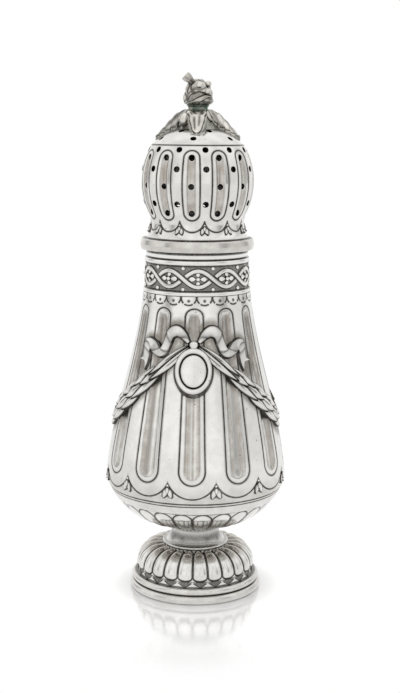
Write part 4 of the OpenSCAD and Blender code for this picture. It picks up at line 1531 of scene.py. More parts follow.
@dataclass
class Ornament:
    """Medallion, knot, ribbons and garlands on one side of the wall."""

    shop: Workshop
    motifs: Motifs
    surface: TurnedSurface
    side: Side
    lines: OrnamentLines
    knot_r: float = 1.75

    def build(self) -> None:
        """Builds the six pieces of this side."""
        self._medallion()
        self._knot()
        for way, name in ((-1.0, "left"), (1.0, "right")):
            self._ribbon(way, name)
            self._garland(way, name)

    @property
    def _side(self) -> str:
        """Returns: the side's name in lower case."""
        return self.side.name.lower()

    def _medallion(self) -> None:
        """Builds the oval frame with its blank boss."""
        columns = 96
        rho = spans((0.0, 0.60, 14), (0.60, 1.0, 22))[:, None]
        turn = ring_turns(columns)[None, :]
        boss = 0.55 + 0.85 * np.sqrt(np.clip(1.0 - (rho / 0.70) ** 2, 0.0, 1.0)) ** 0.8
        frame_lift = 0.45 + 1.05 * np.sqrt(np.clip(1.0 - ((rho - 0.86) / 0.15) ** 2, 0.0, 1.0))
        lift = np.where(rho < 0.695, boss, frame_lift) + 0 * turn
        lift = np.where(rho > 0.995, 0.06, lift)
        across, up = rho * np.sin(turn) * self.lines.half_w, rho * np.cos(turn) * self.lines.half_h
        along = self.surface.along(self.lines.medallion_z) + up
        azimuth = self.side.value + np.degrees(across / self.surface.radius(along))
        top = self.surface.place(azimuth, along, lift)
        foot = self.surface.place(azimuth[-1:], along[-1:], np.full((1, columns), -0.3))
        points = np.concatenate([foot, top[::-1]])
        faces = self.shop.ring_faces(len(points), columns, False).tolist()
        faces.append(list(range(columns)))
        edge = np.minimum(np.abs(rho - 0.715) * 1.25, np.abs(rho - 1.0)) * self.lines.half_w + 0 * turn
        dark = np.where(rho > 0.97, 0.9, 0.0) + 0 * turn
        marks = Marks(
            edge=np.concatenate([np.full((1, columns), FAR_EDGE), edge[::-1]]),
            ground=np.concatenate([np.ones((1, columns)), dark[::-1]]),
            tarnish=0.05,
        )
        mesh = self.shop.mesh(f"{self._side}_oval", points, [face[::-1] for face in faces], marks)
        self.shop.finish(mesh, Carrier.VASE, Slot.CAST, (f"{self._side}_medallion",), 60.0)

    def _knot(self) -> None:
        """Builds the knot bead."""
        middle = self.surface.along(self.lines.knot_z)
        places = spots(np.array([self.side.value]), middle, (self.knot_r, self.knot_r, 2.3), 0.3)
        mesh = self.shop.scatter(f"{self._side}_bead", self.motifs.bead(10, 28), self.surface, places)
        self.shop.finish(mesh, Carrier.VASE, Slot.CAST, (f"{self._side}_knot",), 70.0)

    def _ribbon(self, way: float, name: str) -> None:
        """Builds a ribbon that folds as it winds, with a forked tail.

        Args:
            way: -1 to the left of the knot and 1 to the right.
            name: left or right.
        """
        line, half = self.lines.ribbon()
        head = np.gradient(line, axis=0)
        head /= np.linalg.norm(head, axis=1)[:, None]
        left = np.stack([-head[:, 1], head[:, 0]], axis=1)
        v = np.array((-1.0, -0.82, -0.5, -0.17, 0.17, 0.5, 0.82, 1.0))
        t = np.linspace(0.0, 1.0, len(line))
        fork = smooth(t, 0.90, 1.0)[:, None] * (1.0 - np.abs(v))[None, :] * 2.4
        folds = np.array(((0.05, 0.02), (0.27, 0.030), (0.40, -0.028), (0.535, 0.028), (0.70, -0.030), (0.80, 0.028)))
        past = t[:, None, None] - folds[None, None, :, 0] + folds[None, None, :, 1] * v[None, :, None]
        after = np.where(past > 0, np.exp(-np.maximum(past, 0.0) / 0.06), 0.0).max(axis=2)
        crease = hump(past, 0.013).max(axis=2)
        tilt = 0.30 * np.sin(t * 18.0 + 0.8)
        lift = 1.1 - 0.55 * after + tilt[:, None] * v[None, :] - 0.45 * smooth(t, 0.72, 0.9)[:, None]
        loop = hump(t - 0.16, 0.12) + hump(t - 0.65, 0.08)
        shade = 0.75 * crease + 0.62 * after**1.5 + 0.40 * loop[:, None] * smooth(-v, 0.0, 0.9)[None, :]

        def laid(spread: float, height: Array) -> Array:
            """Lays the band on the wall.

            Args:
                spread: how much wider it is on each side.
                height: its height off the wall.

            Returns:
                Its points, in metres.
            """
            reach = (half[:, None] + spread) * v[None, :]
            grid = line[:, None, :] + left[:, None, :] * reach[:, :, None] - head[:, None, :] * fork[:, :, None]
            along = self.surface.along(self.lines.knot_z) + grid[:, :, 1]
            azimuth = np.degrees(grid[:, :, 0] / self.surface.radius(along))
            return self.surface.place(self.side.value + way * azimuth, along, height)

        border = (1.0 - np.abs(v))[None, :] * half[:, None] + 0.12
        tail = (1.0 - t)[:, None] * 26.0 + 0.12
        top, foot = laid(0.0, lift), laid(0.5, 0.0 * lift)
        edge = np.minimum(border, tail)
        mesh = self.motifs.slab(f"{self._side}_bow_{name}", top, foot, np.clip(shade, 0.0, 0.8), edge)
        self.shop.outward(mesh)
        self.shop.finish(mesh, Carrier.VASE, Slot.CAST, (f"{self._side}_ribbon_{name}",), 50.0)

    def _garland(self, way: float, name: str) -> None:
        """Builds half a garland as one relief, in which leaves nearer the knot lie over those behind them.

        Args:
            way: -1 to the left of the knot and 1 to the right.
            name: left or right.
        """
        line = self.lines.garland()
        steps = np.hypot(*np.diff(line, axis=0).T)
        length_at = np.concatenate([[0.0], np.cumsum(steps)])
        u = np.linspace(0.0, length_at[-1], 250)[:, None]
        w = np.linspace(-4.3, 4.3, 59)[None, :]
        lift = np.full((u.size, w.size), -1.05)
        edge = np.full(lift.shape, FAR_EDGE)
        for leaf in self.lines.leaves:
            length = leaf.tip - leaf.root
            share = (u - leaf.root) / length
            inner = np.clip(share, 0.0, 1.0)
            bow = 0.35 * np.sign(leaf.tip_aside) * np.sin(np.pi * inner)
            middle = leaf.root_aside + (leaf.tip_aside - leaf.root_aside) * inner + bow
            half = leaf.width / 2 * np.sin(np.pi * inner**0.85) ** 0.8
            beside = np.abs(w - middle)
            past = np.maximum(np.maximum(-share, share - 1.0), 0.0) * length
            gap = np.hypot(np.maximum(beside - half, 0.0), past) - np.maximum(half - beside, 0.0)
            inside = (gap < 0) & (past == 0)
            crown = leaf.tall * (0.62 + 0.38 * inner) * (1.0 - 0.45 * (beside / np.maximum(half, 0.05)) ** 2)
            midrib = beside + 0.17 + 1.0 * smooth(inner, 0.5, 0.75)
            lift = np.where(inside, crown, lift - 0.3 * hump(gap, 0.3) * (lift > 0))
            edge = np.where(inside, np.minimum(0.07 - gap, midrib), np.minimum(edge, np.abs(gap) + 0.02))
        slope = np.unwrap(np.arctan2(np.gradient(line[:, 1]), np.gradient(line[:, 0])))
        lean = np.interp(u, length_at, slope)
        x = np.interp(u, length_at, line[:, 0]) - np.sin(lean) * w
        middle_at = float(self.surface.along(self.lines.medallion_z))
        along = middle_at + np.interp(u, length_at, line[:, 1]) + np.cos(lean) * w
        azimuth = self.side.value + way * np.degrees(x / self.surface.radius(along))
        top = self.surface.place(azimuth, along, lift)
        foot = self.surface.place(azimuth, along, np.full(lift.shape, -1.12))
        mesh = self.motifs.slab(f"{self._side}_laurel_{name}", top, foot, 0.0 * lift, edge)
        self.shop.outward(mesh)
        self.shop.finish(mesh, Carrier.VASE, Slot.CAST, (f"{self._side}_garland_{name}",), 50.0)


@dataclass
class Cap:
    """The pierced globe with its skirt and crown, and the rim under it."""

    shop: Workshop
    motifs: Motifs
    cap_z: float = 134.15
    skirt_z: float = 138.55
    globe_z: float = 147.35
    widest_z: float = 159.65
    shoulder_z: float = 173.45
    crown_z: float = 180.85
    globe_r: float = 21.5
    shoulder_r: float = 17.6
    skirt_r: float = 20.1
    rim_r: float = 21.7
    sleeve_r: float = 17.55
    wall: float = 1.2
    turn: float = -4.0
    flutes: int = 12
    hole_r: float = 1.15
    outline_mm: float = 3.35
    channel_mm: float = 1.6
    flute_low: float = 145.9
    flute_high: float = 171.6
    scallop_low: float = 141.7
    scallop_peak: float = 145.6
    scallop_wall_r: float = 18.6
    skirt_top: float = 147.5
    stud_r: float = 1.56
    flute_holes: tuple[float, ...] = (9.45, -1.23, -11.25)
    rib_holes: tuple[float, ...] = (12.14, 5.15, -7.63)
    crown_holes: tuple[float, ...] = (14.9, 10.3)
    surface: TurnedSurface = field(init=False)

    def __post_init__(self) -> None:
        """Works out the section from skirt to crown."""
        sag, tall = self.globe_r - self.shoulder_r, self.shoulder_z - self.widest_z
        curve = (tall**2 + sag**2) / (2 * sag)
        axis = self.globe_r - curve
        low = self.widest_z - self.globe_z
        foot_deg = -math.degrees(math.asin(low / curve))
        globe = arc((axis, self.widest_z), curve, foot_deg, math.degrees(math.asin(tall / curve)), 90)
        foot = globe[0]
        lean = low / (foot[0] - axis)
        skirt_h = self.globe_z - self.skirt_z
        pull = 0.28 * skirt_h
        skirt = cubic(
            [
                (self.skirt_r, self.skirt_z + 0.05),
                (foot[0] - 0.55, self.skirt_z + 0.2 * skirt_h),
                (foot[0] - pull * lean, foot[1] - pull),
                tuple(foot),
            ],
            30,
        )
        rise = self.crown_z - self.shoulder_z
        self.crown_curve = (self.shoulder_r**2 + rise**2) / (2 * rise)
        self.crown_axis = self.crown_z - self.crown_curve
        start = math.degrees(math.asin((self.shoulder_z - self.crown_axis) / self.crown_curve))
        end = math.degrees(math.acos(self.stud_r / self.crown_curve))
        crown = arc((0.0, self.crown_axis), self.crown_curve, start, end, 50)
        self.surface = TurnedSurface(np.vstack([skirt, globe[1:], crown[1:]]))

    def build(self) -> None:
        """Builds shell, rim and sleeve."""
        self._shell()
        self._rim()
        self.shop.dress("cap_sleeve", Slot.DULL)

    def _shell(self) -> None:
        """Builds the fluted shell and drills it."""
        surface = self.surface
        shoulder = float(surface.along(self.shoulder_z))
        total = float(surface.length[-1])
        skirt = float(surface.along(self.skirt_top))
        below, above = shoulder - 0.8, shoulder + 0.8
        rows = spans((0.0, skirt, 34), (skirt, below, 58), (below, above, 12), (above, total, 22))
        shell = ChasedShell(self.shop, surface, rows, self.flutes * 48)
        across = shell.across(self.flutes, self.turn)
        low, high = float(surface.along(self.flute_low)), float(surface.along(self.flute_high))
        taper = 0.88 * self.outline_mm
        outline = self._pill(across, shell.along, low, high, self.outline_mm, taper)
        inset = self.outline_mm - self.channel_mm
        channel = self._pill(across, shell.along, low + inset, high - inset, self.channel_mm, 0.9 * self.channel_mm)
        hollow = np.clip(-channel / self.channel_mm, 0.0, 1.0)
        lift = -0.12 * smooth(-outline, 0.0, 0.7) - 0.24 * smooth(-channel, 0.0, 0.25)
        lift = lift - 0.45 * (1.0 - (1.0 - hollow) ** 2)
        depth = self.scallop_peak - self.scallop_low
        half = math.radians(180.0 / self.flutes) * self.scallop_wall_r
        scallop_r = (half**2 + depth**2) / (2 * depth)
        level = float(surface.along(self.scallop_low)) + scallop_r
        drop = np.minimum(shell.along - level, 0.0)
        scallop = scallop_r - np.hypot(across * self.scallop_wall_r / shell.out, drop)
        scallop = np.where(shell.along > float(surface.along(self.scallop_peak)) + 0.5, FAR_EDGE, scallop)
        ring = shell.along - shoulder
        lift = lift - 0.14 * hump(scallop, 0.25) - 0.16 * hump(outline, 0.28)
        lift = lift - 0.12 * hump(ring, 0.2)
        crease = shell.along - 0.22
        edge = join_edges(outline, scallop, ring, crease)
        under = smooth(shell.along, total - 11.5, total - 8.0)
        # Painted shade: the channels are browner towards the left front and paler towards the right back.
        left_side_shade = 0.75 + 0.25 * np.cos(np.radians(shell.azimuth + 45.0))
        brown = np.clip(left_side_shade * smooth(-channel, -0.05, 0.18) + 0.06 + 0.6 * under, 0, 1)
        # Painted shade: a dark fringe along the edges of each channel.
        rim = 0.30 * hump(channel, 0.28)
        peak = np.abs(shell.across(self.flutes, self.turn + 180.0 / self.flutes))
        fan = peak - np.interp(shell.up, [141.4, 144.9], [1.8, 0.2])
        fans = 0.85 * (1.0 - smooth(fan, -0.2, 0.3)) * smooth(shell.up, 140.9, 141.7) * (shell.up < 145.1)
        rim = np.maximum(rim, fans)
        crown_r = self.crown_curve - self.wall
        inner_crown = arc((0.0, self.crown_axis), crown_r, math.degrees(math.acos(self.stud_r / crown_r)), 46.0, 12)
        inside = surface.section[surface.section[:, 1] < self.shoulder_z - 0.6][::-6] - [self.wall, 0.0]
        inner = np.vstack([inner_crown, inside, [[self.skirt_r - self.wall - 0.1, self.skirt_z + 0.05]]])
        marks = Marks(edge=edge, tarnish=np.minimum(brown + 0.11, 1.0), ground=np.maximum(rim, 0.5 * under))
        mesh = shell.mesh("globe_sheet", lift, marks, inner)
        with reworked(mesh) as work:
            bmesh.ops.remove_doubles(work, verts=work.verts, dist=DOUBLE_M)
        self._drill(mesh)

    @staticmethod
    def _pill(
        across: Array, along: Array, low: float, high: float, middle: float, end: float
    ) -> Array:
        """Distance to a long outline with round ends that is widest in the middle.

        Args:
            across: distance from its middle line.
            along: place along it.
            low: lower end.
            high: upper end.
            middle: half width in the middle.
            end: radius of its ends.

        Returns:
            The distance, negative inside.
        """
        start, stop = low + end, high - end
        share = np.clip((along - start) / (stop - start), 0.0, 1.0)
        half = end + (middle - end) * np.sin(np.pi * share) ** 0.8
        return np.hypot(across, along - np.clip(along, start, stop)) - half

    def _drill(self, mesh: Mesh) -> None:
        """Cuts the sprinkling holes square to the shell.

        Args:
            mesh: the closed shell.
        """
        surface, step = self.surface, 360.0 / self.flutes
        azimuth, along = [], []
        for number in range(self.flutes):
            for offset, heights in ((0.0, self.flute_holes), (step / 2, self.rib_holes)):
                azimuth += [self.turn + step * number + offset] * len(heights)
                along += [float(surface.along(self.widest_z + height)) for height in heights]
        for number in range(self.flutes // 2):
            for offset, reach in zip((0.0, step), self.crown_holes):
                azimuth.append(self.turn + 2 * step * number + offset)
                level = self.crown_axis + math.sqrt(self.crown_curve**2 - reach**2)
                along.append(float(surface.along(level)))
        places = spots(np.array(azimuth), np.array(along), (self.hole_r, self.hole_r, 3.0))
        drills = self.shop.scatter("drills", self.motifs.drill(), surface, places)
        stock, cutter = placed("stock", mesh), placed("cutter", drills)
        modifier = stock.modifiers.new("holes", "BOOLEAN")
        modifier.object = cutter
        modifier.operation = "DIFFERENCE"
        modifier.solver = "MANIFOLD"
        drilled = evaluated(stock, "pierced_globe")
        for thing in (stock, cutter):
            bpy.data.objects.remove(thing)
        self.shop.finish(drilled, Carrier.CAP, Slot.CHASED, ("cap_shell",), 35.0)
        peaks = self.turn + step * (0.5 + np.arange(self.flutes))
        self.motifs.drops("skirt_drops", surface, peaks, 142.2, 0.78, Carrier.CAP)

    def _rim(self) -> None:
        """Builds the moulded rim."""
        low, high, swell = 0.5, 0.8, 0.2
        inner = self.sleeve_r + 0.05
        crease = self.skirt_r + 0.2
        bulge = [
            (self.rim_r - 0.22, self.cap_z + 0.6),
            (self.rim_r, self.cap_z + 0.45 * (self.skirt_z - self.cap_z)),
            (self.rim_r - 0.24, self.skirt_z - high + 0.15),
        ]
        section = np.vstack(
            [
                [[inner, self.cap_z], [self.rim_r - swell - low, self.cap_z]],
                arc((self.rim_r - swell - low, self.cap_z + low), low, -90, -15, 8),
                through(np.array(bulge), 6),
                arc((self.rim_r - swell - high, self.skirt_z - high - 0.1), high, 20, 80, 10),
                [[crease, self.skirt_z], [inner, self.skirt_z]],
            ]
        )
        dark = np.zeros(len(section))
        # Painted shade on the underside of the rim.
        dark[:4] = 1.0
        dark[-6:] = (0.2, 0.5, 0.8, 1.0, 1.0, 1.0)
        mesh = self.shop.turned("moulded_rim", section, RING_COLUMNS, Marks(ground=dark, tarnish=0.56))
        self.shop.finish(mesh, Carrier.CAP, Slot.POLISHED, ("cap_rim",))


@dataclass
class Finial:
    """Leaves, collar, bud, stalk and berries on top of the cap."""

    shop: Workshop
    motifs: Motifs
    crown_z: float = 180.85
    mound_z: float = 186.25
    bud_z: float = 188.45
    bud_h: float = 9.4
    bud_r: float = 5.3
    bore_r: float = 1.56
    mound_top: float = 4.0
    mound_foot: float = 9.0
    reach: float = 16.0
    crown_curve: float = 24.63
    leaf_w: float = 6.2
    cup_end: float = 12.9
    cup_outline: Pairs = (
        (0.0, 1.9), (0.2, 3.0), (0.36, 3.6), (0.5, 2.9), (0.62, 2.9), (0.75, 2.3), (0.9, 1.7), (0.97, 1.0), (1.0, 0.15),
    )
    petal_line: Pairs = ((-1.0, 0.02), (-0.75, 0.13), (-0.48, 0.38), (0.1, 0.51), (0.6, 0.42), (1.0, 0.30))
    lip_high: Pairs = ((-1.0, -0.05), (-0.45, 0.10), (0.1, 0.27), (0.56, 0.38), (1.0, 0.30))
    lip_foot: Pairs = ((-1.0, -0.15), (-0.35, 0.0), (0.27, 0.10), (0.69, 0.26), (1.0, 0.24))

    def build(self) -> None:
        """Builds the pieces from the crown upwards."""
        self._mound()
        for name, azimuth in (("front", 0.0), ("right", 90.0), ("back", 180.0), ("left", -90.0)):
            self._leaf(name, azimuth)
        self._side_bud()
        self._collar()
        self._bud()
        self._stalk()
        self._berries()
        for node in ("finial_stud", "finial_washer", "finial_nut"):
            self.shop.dress(node, Slot.DULL)

    def _crown(self, reach: Array | float) -> Array | float:
        """Returns: the height of the crown at a radius."""
        return self.crown_z - self.crown_curve + np.sqrt(self.crown_curve**2 - np.square(reach))

    def _leaf_line(self, steps: int) -> Array:
        """Draws the underside of a leaf.

        Args:
            steps: number of steps along it.

        Returns:
            Radius and height of its points.
        """
        tip = float(self._crown(self.reach))
        points = [
            (self.mound_top, self.mound_z),
            (self.mound_top + 4.5, self.mound_z - 1.5),
            (self.reach - 3.0, tip + 3.5),
            (self.reach, tip + 0.4),
        ]
        return cubic(points, steps)

    def _mound_side(self) -> Array:
        """Draws the side of the mound.

        Returns:
            Radius and height of its points, from the collar down to the crown.
        """
        foot = float(self._crown(self.mound_foot))
        points = [
            (self.mound_top, self.mound_z - 0.05),
            (self.mound_top + 0.9, self.mound_z - 2.2),
            (self.mound_foot - 2.4, foot + 1.3),
            (self.mound_foot, foot + 0.05),
        ]
        return cubic(points, 24)

    def _support(self, reach: Array) -> Array:
        """Finds what the leaves lie on.

        Args:
            reach: radii.

        Returns:
            Its height at each radius.
        """
        side = self._mound_side()
        mound = np.interp(reach, side[:, 0], side[:, 1], right=0.0)
        return np.maximum(mound, self._crown(np.minimum(reach, self.crown_curve - 1.0)))

    def _mound(self) -> None:
        """Builds the mound that flares from the collar to the crown."""
        side = self._mound_side()[::-1]
        reach = np.linspace(self.bore_r, self.mound_foot, 10)[:-1]
        under = np.stack([reach, self._crown(reach) + 0.05], axis=1)
        section = np.vstack([under, side, [[self.bore_r, self.mound_z - 0.05]]])
        # Painted shade: the side of the mound is darkest at its foot, under the leaves, and the part on the crown is
        # dark.
        dark = np.concatenate([np.ones(len(under)), np.linspace(0.50, 0.18, len(side)), [0.2]])
        green = np.concatenate([np.zeros(len(under)), np.linspace(0.0, 1.0, len(side)), [1.0]])
        mesh = self.shop.turned("bare_mound", section, 96, Marks(ground=dark, green=green, tarnish=0.45))
        surface = TurnedSurface(side)
        turns = 20.0 + 40.0 * np.arange(9)
        lean = -math.pi / 2 + 0.25 * np.sin(5.0 * np.arange(9))
        places = spots(turns, surface.length[-1] - 2.3, (5.2, 3.2, 0.8), -0.1, lean)
        sepals = self.shop.scatter("sepals", self.motifs.leaf(0.2, 2.6), surface, places)
        piece = self.shop.merged("leafy_mound", [mesh, sepals])
        self.shop.finish(piece, Carrier.CAP, Slot.FINIAL, ("finial_mound",))

    def _leaf(self, name: str, azimuth: float) -> None:
        """Builds a notched leaf that falls from the mound to the crown.

        Args:
            name: the side that it falls to; front and back leaves are cupped, the others draped.
            azimuth: its turn from the front, in degrees.
        """
        cupped = name in ("front", "back")
        line = self._leaf_line(56)
        if cupped:
            line = line[line[:, 0] < self.cup_end]
        t = np.linspace(0.0, 1.0, len(line))[:, None]
        v = np.linspace(-1.0, 1.0, 21)[None, :]
        bumps = np.abs(np.sin(t * math.pi * 4.5))
        if cupped:
            half = np.interp(t, *np.array(self.cup_outline).T)
        else:
            half = 0.5 * self.leaf_w * (0.72 + 0.28 * np.sin(np.pi * t)) * np.sqrt(1.0 - 0.97 * t**5)
            half = half * (0.8 + 0.2 * bumps)
        side = v * half
        out = line[:, :1] + 0 * side
        ground = self._support(np.hypot(out, side)) + 0.04
        ridge = line[:, 1:] + 0.35 + 0.65 * smooth(t, 0.05, 0.3)
        if cupped:
            rim = np.maximum(smooth(np.abs(v), 0.52, 0.80), smooth(t, 0.86, 0.93))
            slots = hump(v + 0.36, 0.14) * smooth(t, 0.46, 0.54) * (1.0 - smooth(t, 0.80, 0.88))
            slots = slots + hump(v - 0.30, 0.13) * smooth(t, 0.40, 0.50) * (1.0 - smooth(t, 0.70, 0.80))
            ribs = hump(v + 0.75 - 1.6 * t, 0.13) * (1.0 - smooth(t, 0.34, 0.42))
            ribs = ribs + hump(v - 0.80 + 1.2 * t, 0.12) * smooth(t, 0.08, 0.14) * (1.0 - smooth(t, 0.38, 0.46))
            fall = 0.25 + 2.1 * smooth(t, 0.45, 1.0)
            top = ridge - fall + 0.45 * rim - 0.7 * smooth(np.abs(v), 0.88, 1.0) - 0.45 * slots - 0.25 * ribs
            dark = np.clip(0.95 * slots + 0.75 * ribs + 0.15 * (1.0 - rim), 0.0, 0.92)
        else:
            drape = np.abs(v) ** 1.35
            facets = (t * 6.0 - 0.9 * np.abs(v)) % 1.0
            top = ground + 0.9 + (ridge - 0.9 - ground) * (1.0 - drape) + 0.4 * bumps * (1.0 - drape)
            top = top + 0.75 * (facets - 0.5) * np.sqrt(np.abs(v)) * smooth(t, 0.0, 0.12)
            if name == "right":
                dark = np.clip(0.18 + 0.55 * np.sin(np.abs(v) * 6.0 - t * 11.0), 0.0, 0.88)
            else:
                dark = np.clip(0.62 + 0.34 * np.sin(np.abs(v) * 9.0 - t * 5.0), 0.0, 0.92)
            dark = np.maximum(dark, 0.75 * (1.0 - smooth(facets, 0.0, 0.18)) * smooth(t, 0.05, 0.15))
        top = np.maximum(top, ground + 0.25)
        edge = (1.0 - np.abs(v)) * half + 0.08
        if not cupped:
            edge = np.minimum(edge, np.abs(v) * half + 0.1)

        def grid(height: Array) -> Array:
            """Lays out the leaf.

            Args:
                height: height of each point.

            Returns:
                Its points, in metres.
            """
            turn = math.radians(azimuth)
            x = out * math.sin(turn) + side * math.cos(turn)
            y = -out * math.cos(turn) + side * math.sin(turn)
            return np.stack([x, y, height], axis=-1) * MM

        # The leaf's sides are darkened as painted shade.
        mesh = self.motifs.slab(f"leaf_{name}", grid(top), grid(ground), dark + 0 * side, edge + 0 * side, 0.62)
        self.shop.outward(mesh)
        self.shop.finish(mesh, Carrier.CAP, Slot.FINIAL, (f"finial_leaf_{name}",), 70.0)

    def _ball(
        self, name: str, centre: Vector, radii: tuple[float, float, float], lean: float = 0.0
    ) -> Mesh:
        """Makes a slightly uneven ball.

        Args:
            name: name of the mesh.
            centre: its middle, in millimetres.
            radii: its half sizes.
            lean: its lean to the right, in radians.

        Returns:
            The mesh.
        """
        rows, columns = 18, 28
        rise = np.linspace(-np.pi / 2, np.pi / 2, rows)[:, None]
        turn = ring_turns(columns)[None, :]
        wave = 1.0 + 0.03 * np.sin(3 * turn + 2.0 * rise) * np.cos(rise)
        x = radii[0] * np.cos(rise) * np.cos(turn) * wave
        y = radii[1] * np.cos(rise) * np.sin(turn) * wave
        z = radii[2] * np.sin(rise) + 0 * turn
        x, z = x * math.cos(lean) + z * math.sin(lean), z * math.cos(lean) - x * math.sin(lean)
        points = (np.stack([x, y, z], axis=-1) + np.array(centre)) * MM
        # Painted shade on the lower part of the ball.
        dark = 0.8 * (1.0 - smooth(np.sin(rise), -0.75, -0.2)) + 0 * turn
        return self.shop.mesh(name, points, self.shop.ring_faces(rows, columns, False), Marks(ground=dark))

    def _side_bud(self) -> None:
        """Builds the small bud among the leaves."""
        turn = math.radians(-44.0)
        out = 7.0
        centre = Vector((out * math.sin(turn), -out * math.cos(turn), float(self._support(np.array(out))) + 1.9))
        mesh = self._ball("side_bud", centre, (1.65, 1.65, 2.6), 0.35)
        self.shop.finish(mesh, Carrier.CAP, Slot.FINIAL, ("finial_side_bud",), 80.0)

    def _collar(self) -> None:
        """Builds the flared collar under the bud."""
        low, high, wide = self.mound_z, self.bud_z - 0.05, self.mound_top
        points = [(wide - 0.1, low + 0.3), (wide - 0.6, low + 0.9), (wide - 0.1, high - 0.9), (wide + 0.3, high - 0.3)]
        foot, top = [[self.bore_r, low], [wide, low]], [[wide + 0.2, high], [self.bore_r, high]]
        section = np.vstack([foot, cubic(points, 16), top])
        green = np.ones(len(section))
        mesh = self.shop.turned("flared_collar", section, 96, Marks(green=green, tarnish=0.8, ground=0.35))
        self.shop.finish(mesh, Carrier.CAP, Slot.FINIAL, ("finial_collar",))

    def _bud_line(self) -> Array:
        """Draws the outline of the bud.

        Returns:
            Radius and height of its points from foot to tip.
        """
        wide, foot, tall = self.bud_r, self.bud_z, self.bud_h
        knee = (wide, foot + 0.36 * tall)
        low = cubic([(wide - 0.5, foot), (wide + 0.4, foot + 0.06 * tall), (wide + 0.1, foot + 0.2 * tall), knee], 24)
        tip = [(wide, foot + 0.68 * tall), (0.6 * wide, foot + 0.96 * tall), (0.02, foot + tall)]
        return np.vstack([low, cubic([knee, *tip], 40)[1:]])

    def _bud(self) -> None:
        """Builds the bud with petals folded over each other."""
        surface = TurnedSurface(self._bud_line())
        rows = np.linspace(0.0, surface.length[-1], 72)
        shell = ChasedShell(self.shop, surface, rows, 140)
        share = shell.along / surface.length[-1]
        turn = fold(shell.azimuth, 2)
        side = np.sin(np.radians(turn))
        tall = surface.rise(shell.along) - self.bud_z
        over, lip_top, lip_low = (
            self.bud_h * np.interp(side, *np.array(line).T)
            for line in (self.petal_line, self.lip_high, self.lip_foot)
        )
        hollow = np.minimum(over - tall, tall - lip_top)
        lip = np.minimum(lip_top - tall, tall - lip_low)
        outer = np.radians(turn + 50.0 - 6.0 * np.sin(np.pi * tall / self.bud_h)) * shell.out
        outer = np.where(np.abs(tall / self.bud_h - 0.44) < 0.30, np.abs(outer), FAR_EDGE)
        seen = 1.0 - smooth(np.abs(turn), 70.0, 88.0)
        settle = smooth(share, 0.02, 0.12) * (1.0 - smooth(share, 0.86, 0.98))
        spin = np.radians(shell.azimuth)
        warp = 0.8 * np.sin(2.0 * spin + 5.0 * share) + 0.5 * np.sin(5.0 * spin - 7.0 * share)
        swirl = np.sin(4.0 * spin + 11.0 * share + 0.4 + 1.4 * warp)
        cross = np.sin(3.0 * spin - 14.0 * share - 1.9 + 1.2 * warp)
        lift = (-0.75 * smooth(hollow, -0.1, 0.5) + 0.45 * smooth(lip, -0.3, 0.5)) * seen * settle
        smooth_petal = smooth(np.maximum(hollow, lip), -0.3, 0.2) * seen
        vein = (0.26 * swirl + 0.16 * cross) * settle * (1.0 - 0.8 * smooth_petal)
        drawn = np.minimum(np.minimum(np.abs(over - tall), np.abs(lip_top - tall)), np.abs(lip_low - tall))
        edge = np.minimum(drawn, outer) + 0.05 + 3.0 * (1.0 - settle * seen)
        band = 1.0 - smooth(share, 0.04, 0.14)
        # Painted shade in the hollows under the folded petals and in the creases; the band round the foot is dark too.
        creases = 0.9 * smooth(-swirl, 0.40, 0.85) + 0.75 * smooth(-cross, 0.55, 0.92)
        dark = 0.58 * smooth(hollow, 0.1, 0.6) * seen + creases * (1.0 - smooth_petal) + 0.4 * band
        dark = np.clip(dark, 0.0, 0.9)
        marks = Marks(edge=np.minimum(edge, FAR_EDGE), ground=dark, tarnish=0.35, green=0.5 * band)
        inner = np.array([[0.02, self.bud_z + 3.0], [self.bore_r, self.bud_z + 3.0], [self.bore_r, self.bud_z]])
        mesh = shell.mesh("folded_bud", lift + vein, marks, inner)
        self.shop.outward(mesh)
        self.shop.finish(mesh, Carrier.CAP, Slot.FINIAL, ("finial_bud",), 80.0)

    def _stalk(self) -> None:
        """Builds the short broken stalk with its thick end."""
        foot = Vector((-1.4, -0.6, self.bud_z + 0.78 * self.bud_h))
        end = Vector((-4.9, -0.9, self.bud_z + self.bud_h + 1.3))
        ways = end - foot
        turn = Vector((0, 0, 1)).rotation_difference(ways).to_matrix().to_4x4()
        t = np.concatenate([np.linspace(0.0, 0.9, 14), [0.96, 1.0, 1.0]])[:, None]
        columns = 24
        spin = ring_turns(columns)[None, :]
        out = np.interp(t, [0.0, 0.35, 0.55, 0.72, 0.92, 1.0], [1.3, 1.2, 1.55, 1.75, 1.85, 1.6])
        out = out * (1.0 + 0.05 * np.sin(3 * spin + 4 * t))
        out[-1] *= 0.8
        points = np.stack(np.broadcast_arrays(out * np.cos(spin), out * np.sin(spin), t * ways.length), axis=-1)
        matrix = np.array(Matrix.Translation(foot) @ turn)
        points = (points.reshape(-1, 3) @ matrix[:3, :3].T + matrix[:3, 3]) * MM
        faces = self.shop.ring_faces(len(t), columns, False).tolist()
        faces += [list(range(columns))[::-1], list(range((len(t) - 1) * columns, len(t) * columns))]
        dark = np.interp(t, [0.0, 0.4, 0.55, 0.95, 1.0], [0.9, 0.6, 0.1, 0.05, 0.1])
        dark = dark + 0.55 * smooth(np.sin(4.0 * spin + 3.0 * t), 0.55, 0.95) * (t < 0.95)
        mesh = self.shop.mesh("bent_stalk", points, faces, Marks(ground=dark, tarnish=0.3))
        self.shop.finish(mesh, Carrier.CAP, Slot.FINIAL, ("finial_stalk",), 80.0)

    def _berries(self) -> None:
        """Builds the berries at the open side of the bud."""
        line = self._bud_line()
        balls = []
        for azimuth, share in ((8.0, 0.74), (66.0, 0.8), (42.0, 0.48)):
            rise = self.bud_z + share * self.bud_h
            out = float(np.interp(rise, line[:, 1], line[:, 0])) + 0.5
            turn = math.radians(azimuth)
            centre = Vector((out * math.sin(turn), -out * math.cos(turn), rise))
            balls.append(self._ball("berry", centre, (1.15, 1.15, 1.15)))
        self.shop.finish(self.shop.merged("berries", balls), Carrier.CAP, Slot.FINIAL, ("finial_berries",), 80.0)


